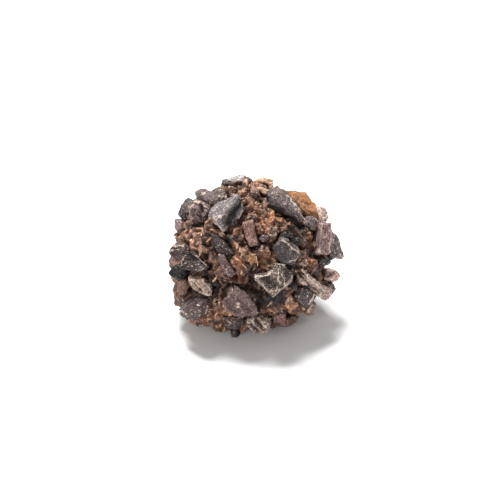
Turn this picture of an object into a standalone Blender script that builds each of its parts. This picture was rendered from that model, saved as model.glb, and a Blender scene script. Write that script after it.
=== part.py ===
"""A raw cacao bite: a hand-rolled ball of date and nut paste with cacao nibs pressed into it all over.

It is one solid. The ball of paste is a sphere pushed out into lumps, bulges and crags, and pressed flat
where it rests. Each nib is a chip of bean: an outline extruded up to a shoulder, drawn in at the top, and
broken off along slanting planes. A Boolean union then fuses the ball and the nibs.

Frame: metres, +Z up, the origin at the middle of the flat spot that the ball rests on, and the front
towards -Y. The nibs of the front half are placed in a front plane that leans back by FRONT_LEAN, as
millimetres to the right of the ball's middle and up from it. Those of the back half follow a rule.
"""

import math
import random
from collections import namedtuple

import bmesh
import bpy
from mathutils import Matrix, Vector, noise

MM = 0.001

# The ball of paste.
PASTE_RADIUS = 12.3 * MM
REST_HEIGHT = 11.4 * MM  # from the ball's middle down to the flat spot it rests on
BALL_DETAIL = 5  # subdivisions of the icosphere that the ball starts from
LUMP_HEIGHT = 0.45 * MM  # broad unevenness left by rolling it by hand
LUMP_WIDTH = 5.4 * MM
CRAG_HEIGHT = 0.90 * MM  # crags of chopped fruit and nut
CRAG_WIDTH = 2.6 * MM
CREASE_STEEPNESS = 2.4
CRUMB_HEIGHT = 0.40 * MM
CRUMB_WIDTH = 1.5 * MM

# The front plane leans back, so that its normal looks this far above the horizon.
FRONT_LEAN = math.radians(30)
RIGHT = Vector((1, 0, 0))
UP = Vector((0, math.sin(FRONT_LEAN), math.cos(FRONT_LEAN)))
FORWARD = Vector((0, -math.cos(FRONT_LEAN), math.sin(FRONT_LEAN)))
BALL_MIDDLE = Vector((0, 0, REST_HEIGHT))

# How a nib is shaped and how it sits in the paste.
FOOT_SPREAD = 0.8  # the buried foot's size, as a share of the outline's
SHOULDER_SHARE = 0.62  # how much of the thickness is below the shoulder
SUNK_SHARE = 0.22  # how far the middle is below the paste, as a share of the thickness
SETTLING_ROUNDS = 4  # the paste's reach depends on the direction, and the direction on the reach
MERGE_DISTANCE = 0.002 * MM

# The rule for the back half: places on a spiral round the whole ball, of which its own are used.
BACK_SEED = 11
SPIRAL_PLACES = 84
GOLDEN_ANGLE = math.pi * (3 - math.sqrt(5))
SPIRAL_JITTER = 0.07
BACK_LIMIT = -0.02  # how far forward of the middle they go, as a share of the radius
LOWEST_BACK_NIB = -0.80  # likewise for how low
BACK_LENGTHS = (3.0, 6.6)
BACK_WIDTH_SHARES = (0.45, 0.75)
BACK_THICKNESSES = (1.5, 2.6)

Place = namedtuple("Place", "middle x_axis y_axis outward")

# Where the ball bulges: right, up and forward of its middle as a direction, height in mm, spread in degrees.
Bulge = namedtuple("Bulge", "right up forward height spread")
BULGES = (
    Bulge(-0.72, -0.69, 0.00, 2.6, 25),  # lower left
    Bulge(-0.84, -0.54, 0.00, 0.5, 10),
    Bulge(0.62, -0.76, 0.10, 0.7, 20),  # lower right
    Bulge(-0.43, -0.80, -0.42, 1.3, 8),  # a crumb of paste that touches down at the left
    Bulge(0.94, 0.22, 0.15, 0.5, 22),  # under the plank-shaped nib
    Bulge(0.55, 0.70, 0.40, -0.5, 25),  # a flatter shoulder at the upper right
    Bulge(0.40, 0.90, 0.00, -0.5, 18),
)

# What each kind of nib fragment looks like. The outline is in halves of the length and the width, anticlockwise.
# crown: how far the top face is drawn in. dome: how far its middle rises above its rim, as a share of the
# thickness. falls: planes that it is broken along, each the direction it falls towards and its steepness in
# degrees, and where it starts, in halves of the width from the middle.
Kind = namedtuple("Kind", "outline crown dome falls")
KINDS = {
    "teardrop": Kind(
        ((-1.0, -0.2), (-0.7, -0.8), (-0.2, -1.0), (0.4, -0.5), (0.9, -0.2), (1.0, 0.3), (0.1, 0.9), (-0.5, 1.0), (-0.9, 0.6)),
        0.66, 0.16, (),
    ),
    "split_block": Kind(
        ((1.0, 0.3), (-0.3, 1.0), (-0.9, 0.9), (-1.0, -0.6), (-0.2, -1.0), (0.6, -0.7), (0.9, -0.1)),
        0.90, 0.04, ((-97, 42, 0.1),),
    ),
    "saddle": Kind(
        ((-1.0, 0.4), (-0.8, -0.3), (-0.3, -0.8), (0.2, -1.0), (0.7, -0.8), (1.0, -0.2), (0.9, 0.8), (0.1, 0.5), (-0.5, 0.8)),
        0.72, 0.06, (),
    ),
    "cup": Kind(
        ((1.0, 0.4), (0.4, 0.9), (-0.3, 1.0), (-0.9, 0.6), (-1.0, -0.2), (-0.6, -0.8), (0.2, -1.0), (0.9, -0.8)),
        0.74, -0.28, (),
    ),
    "pebble": Kind(
        ((1.0, -0.2), (0.9, 0.4), (0.4, 0.9), (-0.2, 1.0), (-1.0, 0.1), (-0.5, -0.9), (0.3, -1.0), (0.8, -0.8)),
        0.78, 0.08, (),
    ),
    "shield": Kind(
        ((-0.8, 0.8), (-1.0, -0.6), (-0.7, -1.0), (-0.1, -0.9), (0.6, -0.5), (1.0, 0.0), (0.9, 0.4), (-0.5, 1.0)),
        0.84, -0.10, ((68, 30, 0.1),),
    ),
    "lens": Kind(
        ((-1.0, -0.2), (-0.7, -0.9), (-0.3, -1.0), (0.4, -0.8), (1.0, -0.3), (0.7, 0.3), (-0.1, 1.0)),
        0.80, 0.05, ((-110, 28, 0.2),),
    ),
    "kite": Kind(
        ((-0.8, 0.9), (-0.8, 0.0), (-1.0, -0.7), (-0.7, -1.0), (0.2, -1.0), (1.0, -0.4), (0.3, 0.6), (-0.5, 1.0)),
        0.92, 0.02, ((200, 34, 0.55), (15, 22, 0.30)),
    ),
    "lump": Kind(
        ((1.0, 0.0), (0.6, 0.9), (0.2, 1.0), (-0.1, 0.5), (-1.0, 0.4), (-0.3, -1.0), (0.1, -1.0), (0.9, -0.4)),
        0.86, 0.05, ((100, 36, 0.15), (-5, 30, 0.55)),
    ),
    "rib": Kind(
        ((-1.0, 0.0), (-0.6, -1.0), (-0.2, -0.6), (0.2, -0.7), (0.8, -0.8), (1.0, 0.1), (0.8, 1.0), (0.3, 0.6), (-0.8, 1.0)),
        0.68, 0.06, (),
    ),
    "brick": Kind(
        ((1.0, -0.4), (0.9, 0.8), (0.6, 1.0), (-0.7, 0.9), (-1.0, 0.4), (-0.9, -0.6), (-0.3, -1.0), (0.6, -0.9)),
        0.90, 0.03, ((5, 38, 0.7),),
    ),
    "plank": Kind(
        ((1.0, 0.9), (-1.0, 1.0), (-0.9, -1.0), (0.5, -1.0), (1.0, -0.6)),
        0.88, 0.02, (),
    ),
    "spur": Kind(
        ((-1.0, 0.5), (0.1, -0.6), (0.8, -1.0), (0.8, -0.2), (1.0, 0.7), (0.6, 1.0), (-0.8, 0.9)),
        0.80, 0.05, ((-100, 30, 0.1),),
    ),
    "strip": Kind(
        ((-1.0, 0.1), (-0.5, -0.8), (0.5, -1.0), (1.0, -0.2), (0.9, 0.8), (-0.8, 0.9)),
        0.66, 0.10, (),
    ),
}

# The front half's nibs, as a cook would press them in: kind, middle to the right and up in mm, the turn of the
# long axis in degrees, length, width and thickness in mm, how far the face looks forward instead of straight
# out of the ball (0 to 1), and how far the nib is raised out of the paste in mm.
Nib = namedtuple("Nib", "kind right up turn length width thickness facing raised")
FRONT_NIBS = (
    # Upper left.
    Nib("split_block", -3.4, 6.9, 47, 6.0, 4.5, 2.8, 0.25, 0.8),
    Nib("cup", -8.4, 6.8, 60, 4.0, 3.6, 2.6, 0.45, 0.4),
    Nib("saddle", -6.4, 9.4, -4, 5.4, 2.8, 2.8, 0.45, 0.1),
    Nib("strip", -10.2, 7.4, 62, 3.9, 2.3, 2.2, 0.45, 0.0),
    Nib("pebble", -11.4, 4.6, 100, 2.9, 1.7, 1.8, 0.45, -0.1),
    Nib("pebble", -11.4, 0.6, 5, 3.7, 2.9, 2.6, 0.50, 0.3),
    # Top.
    Nib("spur", -2.0, 12.0, 18, 3.2, 1.4, 1.6, 0.55, 0.0),
    Nib("shield", -0.8, 11.5, 75, 2.2, 1.3, 1.0, 0.60, 0.1),
    Nib("pebble", -3.0, 10.6, -30, 1.9, 1.4, 1.4, 0.50, 0.0),
    Nib("strip", 0.6, 9.9, -55, 3.3, 1.7, 1.8, 0.35, 0.1),
    Nib("pebble", 1.9, 10.4, -25, 3.0, 1.3, 1.8, 0.55, 0.0),
    # Upper right.
    Nib("teardrop", 5.7, 7.9, -42, 7.9, 3.3, 2.9, 0.25, 1.0),
    Nib("lens", 8.2, 7.8, -33, 7.2, 2.9, 2.4, 0.45, -0.2),
    Nib("pebble", 11.7, 6.2, -72, 2.9, 1.6, 1.8, 0.50, 0.1),
    Nib("pebble", 9.9, 5.1, -45, 2.6, 1.7, 1.8, 0.35, 0.3),
    Nib("plank", 12.0, 2.6, 85, 5.3, 2.2, 2.2, 0.60, 0.6),
    Nib("spur", 13.6, 1.4, -68, 5.2, 2.2, 2.2, 0.60, 0.4),
    # Middle.
    Nib("strip", 0.0, 3.6, -80, 4.1, 1.4, 1.6, 0.20, 0.1),
    Nib("strip", -4.7, 1.5, -52, 4.6, 2.1, 1.9, 0.20, 0.2),
    Nib("strip", -3.9, -1.7, -58, 3.9, 1.0, 1.5, 0.20, 0.1),
    Nib("brick", 5.7, 0.5, -50, 4.5, 3.4, 2.8, 0.20, 0.8),
    Nib("lens", 5.7, 3.1, 20, 2.6, 1.4, 1.6, 0.20, 0.3),
    Nib("pebble", 2.2, 2.6, 10, 1.5, 1.2, 1.4, 0.20, 0.1),
    Nib("lump", 3.8, -3.8, 10, 6.4, 4.8, 3.0, 0.25, 0.9),
    # Lower left.
    Nib("shield", -8.9, -1.3, -25, 4.5, 3.1, 2.6, 0.30, 0.9),
    Nib("brick", -11.5, -2.8, -30, 2.8, 2.4, 2.0, 0.40, 0.0),
    Nib("lens", -7.8, -4.7, -40, 5.1, 2.7, 2.2, 0.30, 0.7),
    Nib("pebble", -9.1, -8.7, 15, 4.6, 3.0, 2.4, 0.40, 0.3),
    Nib("strip", -5.8, -4.1, -45, 2.8, 1.3, 1.5, 0.20, 0.0),
    Nib("pebble", -10.8, -5.1, 80, 3.1, 1.9, 1.8, 0.40, -0.2),
    # Lower middle.
    Nib("kite", -1.4, -7.4, -20, 6.4, 4.4, 2.6, 0.30, 1.0),
    Nib("brick", -2.7, -10.5, -15, 3.4, 2.2, 2.0, 0.40, 0.0),
    Nib("spur", -2.7, -13.3, -75, 2.8, 2.2, 2.0, 0.30, 0.3),
    Nib("cup", 1.4, -11.2, 0, 3.5, 2.8, 2.4, 0.50, 0.2),
    Nib("shield", 4.7, -10.2, -60, 3.2, 2.6, 1.8, 0.45, -0.1),
    # Lower right.
    Nib("rib", 10.2, -4.7, -37, 7.4, 2.2, 2.4, 0.40, 0.7),
    Nib("pebble", 13.4, -3.3, 30, 2.4, 2.0, 2.0, 0.55, 0.4),
    Nib("pebble", 12.7, -5.6, 70, 3.0, 1.7, 2.0, 0.55, 0.2),
    Nib("pebble", 11.8, -1.2, 30, 2.4, 1.6, 1.6, 0.50, 0.1),
    Nib("brick", 8.8, -6.6, -40, 3.2, 3.0, 2.4, 0.40, 0.4),
    Nib("strip", 9.9, -9.0, 65, 2.4, 1.5, 1.4, 0.40, 0.1),
    Nib("strip", 6.4, -10.8, 24, 3.2, 1.3, 1.5, 0.40, 0.0),
)


def new_material(name, colour, roughness):
    """A plain Principled BSDF."""
    material = bpy.data.materials.new(name)
    material.use_nodes = True
    shader = material.node_tree.nodes["Principled BSDF"]
    shader.inputs["Base Color"].default_value = (*colour, 1)
    shader.inputs["Roughness"].default_value = roughness
    shader.inputs["Metallic"].default_value = 0
    return material


def new_collection(name):
    made = bpy.data.collections.new(name)
    bpy.context.scene.collection.children.link(made)
    return made


def new_object(name, bm, material, collection):
    """An object of its own, made of the mesh that bm holds, already in its place."""
    mesh = bpy.data.meshes.new(name)
    bm.to_mesh(mesh)
    bm.free()
    if material:
        mesh.materials.append(material)
    made = bpy.data.objects.new(name, mesh)
    collection.objects.link(made)
    return made


def in_front_plane(right, up, forward):
    """What lies right, up and forward as the leaning front plane has it, turned into the part's frame."""
    return right * RIGHT + up * UP + forward * FORWARD


def bulge_height(direction):
    """How much fuller or flatter the hand left the ball on this side."""
    height = 0
    for bulge in BULGES:
        centre = in_front_plane(bulge.right, bulge.up, bulge.forward)
        away = direction.angle(centre) / math.radians(bulge.spread)
        height += bulge.height * MM * math.exp(-away * away)
    return height


def crag_height(spot):
    """Height from -1 to 1 of chopped pieces packed together, with a crease where two of them meet."""
    distances, _ = noise.voronoi(spot / CRAG_WIDTH)
    return 2 * min(1, CREASE_STEEPNESS * (distances[1] - distances[0])) - 1


def paste_reach(direction):
    """How far the paste's surface is from the ball's middle in a direction."""
    spot = direction * PASTE_RADIUS
    return (
        PASTE_RADIUS
        + bulge_height(direction)
        + LUMP_HEIGHT * noise.noise(spot / LUMP_WIDTH)
        + CRAG_HEIGHT / 2 * crag_height(spot)
        + CRUMB_HEIGHT * noise.noise(spot / CRUMB_WIDTH)
    )


def make_ball(material, collection):
    """The ball of paste: an icosphere whose points go out to the paste's surface."""
    bm = bmesh.new()
    bmesh.ops.create_icosphere(bm, subdivisions=BALL_DETAIL, radius=1)
    for vertex in bm.verts:
        direction = vertex.co.normalized()
        vertex.co = BALL_MIDDLE + direction * paste_reach(direction)
    return new_object("cacao_bite", bm, material, collection)


def laid_back(axis, outward):
    """An axis of the front plane, slid straight back on to the plane that outward is square to."""
    return axis - axis.dot(outward) / outward.dot(FORWARD) * FORWARD


def front_place(nib):
    """Where a nib of the front half sits. Seen square to the front plane, its outline keeps its size and turn."""
    sideways = math.hypot(nib.right, nib.up)
    forward = PASTE_RADIUS / MM
    for _ in range(SETTLING_ROUNDS):
        direction = in_front_plane(nib.right, nib.up, forward).normalized()
        reach = paste_reach(direction) / MM + nib.raised - SUNK_SHARE * nib.thickness
        forward = math.sqrt(max(0, reach * reach - sideways * sideways))
    middle = BALL_MIDDLE + in_front_plane(nib.right, nib.up, forward) * MM
    outward = direction.lerp(FORWARD, nib.facing).normalized()
    turn = math.radians(nib.turn)
    along = in_front_plane(math.cos(turn), math.sin(turn), 0)
    across = in_front_plane(-math.sin(turn), math.cos(turn), 0)
    return Place(middle, laid_back(along, outward), laid_back(across, outward), outward)


def back_place(direction, turn, thickness):
    """Where a nib of the back half sits: flat on the paste in this direction, with its long axis turned by turn."""
    middle = BALL_MIDDLE + direction * (paste_reach(direction) - SUNK_SHARE * thickness)
    level = direction.orthogonal().normalized()
    along = Matrix.Rotation(turn, 3, direction) @ level
    return Place(middle, along, direction.cross(along), direction)


def raised_face(bm, face, rise, spread):
    """Extrudes a face upward by rise, makes it spread times as large, and returns the new face."""
    made = bmesh.ops.extrude_face_region(bm, geom=[face])["geom"]
    (top,) = [item for item in made if isinstance(item, bmesh.types.BMFace)]
    bmesh.ops.translate(bm, vec=(0, 0, rise), verts=top.verts)
    bmesh.ops.scale(bm, vec=(spread, spread, 1), verts=top.verts)
    return top


def break_off(bm, towards, steepness, start, top):
    """Breaks a nib off along a plane that starts at its top and falls at this steepness in this direction."""
    level = Vector((math.cos(math.radians(towards)), math.sin(math.radians(towards)), 0))
    normal = level * math.sin(math.radians(steepness))
    normal.z = math.cos(math.radians(steepness))
    cut = bmesh.ops.bisect_plane(
        bm,
        geom=[*bm.verts, *bm.edges, *bm.faces],
        plane_co=level * start + Vector((0, 0, top)),
        plane_no=normal,
        clear_outer=True,
    )
    rim = [item for item in cut["geom_cut"] if isinstance(item, bmesh.types.BMEdge)]
    bmesh.ops.holes_fill(bm, edges=rim)


def chip_mesh(kind, length, width, thickness):
    """One nib lying flat: its outline drawn out to a shoulder, drawn in to a crown, and broken off along its falls."""
    bm = bmesh.new()
    corners = [
        bm.verts.new((x * FOOT_SPREAD * length / 2, y * FOOT_SPREAD * width / 2, -thickness / 2))
        for x, y in kind.outline
    ]
    foot = bm.faces.new(corners)
    shoulder = raised_face(bm, foot, SHOULDER_SHARE * thickness, 1 / FOOT_SPREAD)
    crown = raised_face(bm, shoulder, (1 - SHOULDER_SHARE) * thickness, kind.crown)
    bmesh.ops.delete(bm, geom=[shoulder], context="FACES_ONLY")
    bmesh.ops.poke(bm, faces=[crown], offset=kind.dome * thickness)
    bmesh.ops.recalc_face_normals(bm, faces=bm.faces)
    for towards, steepness, start in kind.falls:
        break_off(bm, towards, steepness, start * width / 2, thickness / 2)
    bmesh.ops.recalc_face_normals(bm, faces=bm.faces)
    return bm


def make_nib(name, kind, length, width, thickness, place, material, collection):
    """One nib in its place, as an object of its own."""
    bm = chip_mesh(KINDS[kind], length, width, thickness)
    columns = Matrix((place.x_axis, place.y_axis, place.outward)).transposed()
    frame = Matrix.Translation(place.middle) @ columns.to_4x4()
    bmesh.ops.transform(bm, matrix=frame, verts=bm.verts)
    bmesh.ops.triangulate(bm, faces=bm.faces)
    new_object(name, bm, material, collection)


def make_front_nibs(material, collection):
    for number, nib in enumerate(FRONT_NIBS):
        size = (nib.length * MM, nib.width * MM, nib.thickness * MM)
        make_nib(f"front_{number}", nib.kind, *size, front_place(nib), material, collection)


def make_back_nibs(material, collection):
    """Nibs over the half that faces away, at the places of a spiral, each with a drawn kind, size and turn."""
    draw = random.Random(BACK_SEED)
    kinds = sorted(KINDS)
    for number in range(SPIRAL_PLACES):
        height = 1 - 2 * (number + 0.5) / SPIRAL_PLACES
        ring = math.sqrt(1 - height * height)
        around = number * GOLDEN_ANGLE
        direction = Vector((ring * math.cos(around), ring * math.sin(around), height))
        direction += Vector([draw.uniform(-SPIRAL_JITTER, SPIRAL_JITTER) for _ in range(3)])
        direction.normalize()
        kind = draw.choice(kinds)
        length = draw.uniform(*BACK_LENGTHS)
        width = length * draw.uniform(*BACK_WIDTH_SHARES)
        thickness = draw.uniform(*BACK_THICKNESSES)
        turn = draw.uniform(0, math.tau)
        if direction.dot(FORWARD) > BACK_LIMIT or direction.z < LOWEST_BACK_NIB:
            continue
        place = back_place(direction, turn, thickness * MM)
        size = (length * MM, width * MM, thickness * MM)
        make_nib(f"back_{number}", kind, *size, place, material, collection)


def combine(ball, others, operation):
    """Joins the objects of a collection to the ball, or cuts them from it, and removes them."""
    combining = ball.modifiers.new(others.name, "BOOLEAN")
    combining.operation = operation
    combining.operand_type = "COLLECTION"
    combining.collection = others
    combining.solver = "EXACT"
    bpy.context.view_layer.objects.active = ball
    bpy.ops.object.modifier_apply(modifier=combining.name)
    for other in list(others.objects):
        bpy.data.objects.remove(other)
    bpy.data.collections.remove(others)


def make_press(collection):
    """A block that fills what is below the flat spot."""
    bm = bmesh.new()
    bmesh.ops.create_cube(bm, size=4 * PASTE_RADIUS)
    bmesh.ops.translate(bm, vec=(0, 0, -2 * PASTE_RADIUS), verts=bm.verts)
    new_object("press", bm, None, collection)


def shells_of(bm):
    """The vertices of each separate closed shell."""
    left = set(bm.verts)
    shells = []
    while left:
        shell = set()
        edge_of_search = [left.pop()]
        while edge_of_search:
            vertex = edge_of_search.pop()
            shell.add(vertex)
            near = {edge.other_vert(vertex) for edge in vertex.link_edges} & left
            left -= near
            edge_of_search.extend(near)
        shells.append(shell)
    return shells


def keep_outer_shell(ball):
    """Fills hollows that fusing sealed and drops loose scraps: only the largest shell stays."""
    bm = bmesh.new()
    bm.from_mesh(ball.data)
    bmesh.ops.remove_doubles(bm, verts=bm.verts, dist=MERGE_DISTANCE)
    bmesh.ops.triangulate(bm, faces=bm.faces)
    shells = sorted(shells_of(bm), key=len)
    for shell in shells[:-1]:
        bmesh.ops.delete(bm, geom=list(shell), context="VERTS")
    bm.to_mesh(ball.data)
    bm.free()
    ball.data.shade_flat()


def main():
    for old in list(bpy.data.objects):
        bpy.data.objects.remove(old)
    material = new_material("cacao_paste", (0.20, 0.10, 0.065), 0.65)
    nibs = new_collection("nibs")
    below = new_collection("below")
    ball = make_ball(material, bpy.context.scene.collection)
    make_front_nibs(material, nibs)
    make_back_nibs(material, nibs)
    combine(ball, nibs, "UNION")
    make_press(below)
    combine(ball, below, "DIFFERENCE")
    keep_outer_shell(ball)


main()
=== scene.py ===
# %% [markdown]
# # A raw cacao bite
#
# A raw cacao bite is dates and nuts chopped to a sticky paste, rolled into a ball between the palms and
# pressed all over into broken cacao nibs. This lesson dresses its plain solid in four steps: the crumbly
# paste, the nibs, the small bits that lie on both, and their finishes. Everything is in metres, in the
# solid's own frame: +Z is up, the bite rests on the floor at the origin, and the side that is shown faces
# -Y.

# %% Load the solid and measure its box
import math
import random
from collections import namedtuple

import bmesh
import bpy
import numpy as np
from mathutils import Matrix, Vector, noise


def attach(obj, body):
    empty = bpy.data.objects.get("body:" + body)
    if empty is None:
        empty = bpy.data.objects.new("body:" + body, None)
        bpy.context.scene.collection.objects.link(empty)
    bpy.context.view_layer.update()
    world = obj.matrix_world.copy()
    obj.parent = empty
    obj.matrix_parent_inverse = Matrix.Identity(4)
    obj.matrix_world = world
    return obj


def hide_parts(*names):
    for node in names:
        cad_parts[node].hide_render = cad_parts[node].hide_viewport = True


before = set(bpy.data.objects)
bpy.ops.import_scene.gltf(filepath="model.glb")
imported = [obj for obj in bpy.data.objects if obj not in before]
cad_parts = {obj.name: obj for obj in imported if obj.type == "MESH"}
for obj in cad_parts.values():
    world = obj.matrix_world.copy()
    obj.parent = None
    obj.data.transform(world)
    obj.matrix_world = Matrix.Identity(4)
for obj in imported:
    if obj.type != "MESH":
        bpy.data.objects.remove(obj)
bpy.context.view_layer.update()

MM = 0.001

# %% [markdown]
# ## The camera
#
# The bite is looked down on from 30 degrees above the floor. The plane square to that view is called the
# front plane here, and its right, up and forward directions place nearly everything that follows. A long
# lens from 400 mm away keeps the ball's near side from swelling. The picture is 500 pixels wide at 6 pixels
# a millimetre.

# %% Set the camera on the line of sight
FRONT_LEAN = math.radians(30)
RIGHT = Vector((1, 0, 0))
UP = Vector((0, math.sin(FRONT_LEAN), math.cos(FRONT_LEAN)))
FORWARD = Vector((0, -math.cos(FRONT_LEAN), math.sin(FRONT_LEAN)))
BALL_MIDDLE = Vector((0, 0, 11.4 * MM))
SENSOR_WIDTH = 36
NEAREST_SEEN = 10 * MM
PICTURE_PIXELS = 500
PIXELS_PER_MM = 6
CAMERA_DISTANCE = 400 * MM
AIM_ABOVE_MIDDLE = 0.83 * MM


def in_front_plane(right, up, forward):
    """What lies right, up and forward as the leaning front plane has it, turned into the solid's frame."""
    return right * RIGHT + up * UP + forward * FORWARD


camera_data = bpy.data.cameras.new("camera")
camera_data.sensor_width = SENSOR_WIDTH
camera_data.lens = SENSOR_WIDTH * CAMERA_DISTANCE / (PICTURE_PIXELS / PIXELS_PER_MM * MM)
camera_data.clip_start = NEAREST_SEEN
camera = bpy.data.objects.new("camera", camera_data)
looking = Matrix((RIGHT, UP, FORWARD)).transposed().to_4x4()
eye = BALL_MIDDLE + AIM_ABOVE_MIDDLE * UP + CAMERA_DISTANCE * FORWARD
camera.matrix_world = Matrix.Translation(eye) @ looking
bpy.context.scene.collection.objects.link(camera)
bpy.context.scene.camera = camera
print("lens, mm:", round(camera_data.lens, 1))

# %% [markdown]
# ## Light
#
# Food like this is shown on white, lit from above and a little behind, so that its top is bright, its
# crevices are deep and its foot falls into soft shade. One wide lamp does that, a weaker one fills in from
# the front, and a pale sky does the rest. The Standard view keeps the browns as they are, where a filmic
# view would grey them.

# %% Hang the lamps under a pale sky
SKY_STRENGTH = 0.36


def lamp(name, place, size, power):
    """A square lamp at a place in millimetres, turned towards the ball."""
    data = bpy.data.lights.new(name, "AREA")
    data.size = size * MM
    data.energy = power
    made = bpy.data.objects.new(name, data)
    made.location = Vector(place) * MM
    made.rotation_euler = (made.location - BALL_MIDDLE).to_track_quat("Z", "Y").to_euler()
    bpy.context.scene.collection.objects.link(made)


lamp("lamp_above", (-40, 70, 260), size=100, power=1.40)
lamp("lamp_front", (-120, -300, 130), size=160, power=0.45)


world = bpy.data.worlds.new("studio")
world.use_nodes = True
sky = world.node_tree.nodes["Background"]
sky.inputs["Color"].default_value = (1, 1, 1, 1)
sky.inputs["Strength"].default_value = SKY_STRENGTH
bpy.context.scene.world = world
bpy.context.scene.view_settings.view_transform = "Standard"
print("lamps:", [light.name for light in bpy.data.lights])

# %% [markdown]
# ## The floor
#
# The floor is a stage and no part of the bite: one square, so wide that its edge never shows. It is painted
# a little below white, because pure white would throw back more light than any real board does, and it is
# dull, so that it doesn't mirror the nibs.

# %% Lay the floor
FLOOR_HALF_WIDTH = 1.5
FLOOR_PAINT = (0.95, 0.95, 0.95, 1)
FLOOR_ROUGHNESS = 0.9

floor_bm = bmesh.new()
bmesh.ops.create_grid(floor_bm, x_segments=1, y_segments=1, size=FLOOR_HALF_WIDTH)
floor_mesh = bpy.data.meshes.new("floor")
floor_bm.to_mesh(floor_mesh)
floor_bm.free()
floor = bpy.data.objects.new("floor", floor_mesh)
bpy.context.scene.collection.objects.link(floor)
floor_material = bpy.data.materials.new("floor_paint")
floor_material.use_nodes = True
floor_shader = floor_material.node_tree.nodes["Principled BSDF"]
floor_shader.inputs["Base Color"].default_value = FLOOR_PAINT
floor_shader.inputs["Roughness"].default_value = FLOOR_ROUGHNESS
floor_mesh.materials.append(floor_material)
print("floor, metres across:", 2 * FLOOR_HALF_WIDTH)

# %% [markdown]
# ## The ball of paste
#
# The palms leave a ball of paste uneven: fuller at its lower left and lower right, flatter at a shoulder,
# and pressed flat where it was put down. Chopped fruit and nut then stand out of it as crags. The solid has
# that form already, so the same sizes are used here, and the crumbs are added to it.

# %% How far the paste reaches in each direction
PASTE_RADIUS = 12.3 * MM
LUMP_HEIGHT = 0.45 * MM
LUMP_WIDTH = 5.4 * MM
CRAG_HEIGHT = 0.90 * MM
CRAG_WIDTH = 2.6 * MM
CREASE_STEEPNESS = 2.4
CRUMB_HEIGHT = 0.40 * MM
CRUMB_WIDTH = 1.5 * MM

Bulge = namedtuple("Bulge", "right up forward height spread")
BULGES = (
    Bulge(-0.72, -0.69, 0.00, 2.6, 25),
    Bulge(-0.84, -0.54, 0.00, 0.5, 10),
    Bulge(0.62, -0.76, 0.10, 0.7, 20),
    Bulge(-0.43, -0.80, -0.42, 1.3, 8),
    Bulge(0.94, 0.22, 0.15, 0.5, 22),
    Bulge(0.55, 0.70, 0.40, -0.5, 25),
    Bulge(0.40, 0.90, 0.00, -0.5, 18),
)


def bulge_height(direction):
    """How much fuller or flatter the hand left the ball on this side."""
    height = 0
    for bulge in BULGES:
        centre = in_front_plane(bulge.right, bulge.up, bulge.forward)
        away = direction.angle(centre) / math.radians(bulge.spread)
        height += bulge.height * MM * math.exp(-away * away)
    return height


def crag_height(spot):
    """Height from -1 to 1 of chopped pieces packed together, with a crease where two of them meet."""
    distances, _ = noise.voronoi(spot / CRAG_WIDTH)
    return 2 * min(1, CREASE_STEEPNESS * (distances[1] - distances[0])) - 1


def paste_reach(direction):
    """How far the paste's surface is from the ball's middle in a direction."""
    spot = direction * PASTE_RADIUS
    return (
        PASTE_RADIUS
        + bulge_height(direction)
        + LUMP_HEIGHT * noise.noise(spot / LUMP_WIDTH)
        + CRAG_HEIGHT / 2 * crag_height(spot)
        + CRUMB_HEIGHT * noise.noise(spot / CRUMB_WIDTH)
    )

print("the paste reaches up, mm:", round(paste_reach(Vector((0, 0, 1))) / MM, 1))

# %% [markdown]
# ## Kinds of nib
#
# A nib is a piece of a dried and cracked cacao bean. The halves of the bean break along its folds, so the
# pieces come in a few kinds: long teardrops, blocks with one slanting break, cups where a fold opened, ribs
# and planks. Each kind is an outline in halves of the length and width, how far its top is drawn in, how
# far its middle rises or sinks, and the planes it is broken along. These are the solid's own kinds.

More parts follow.
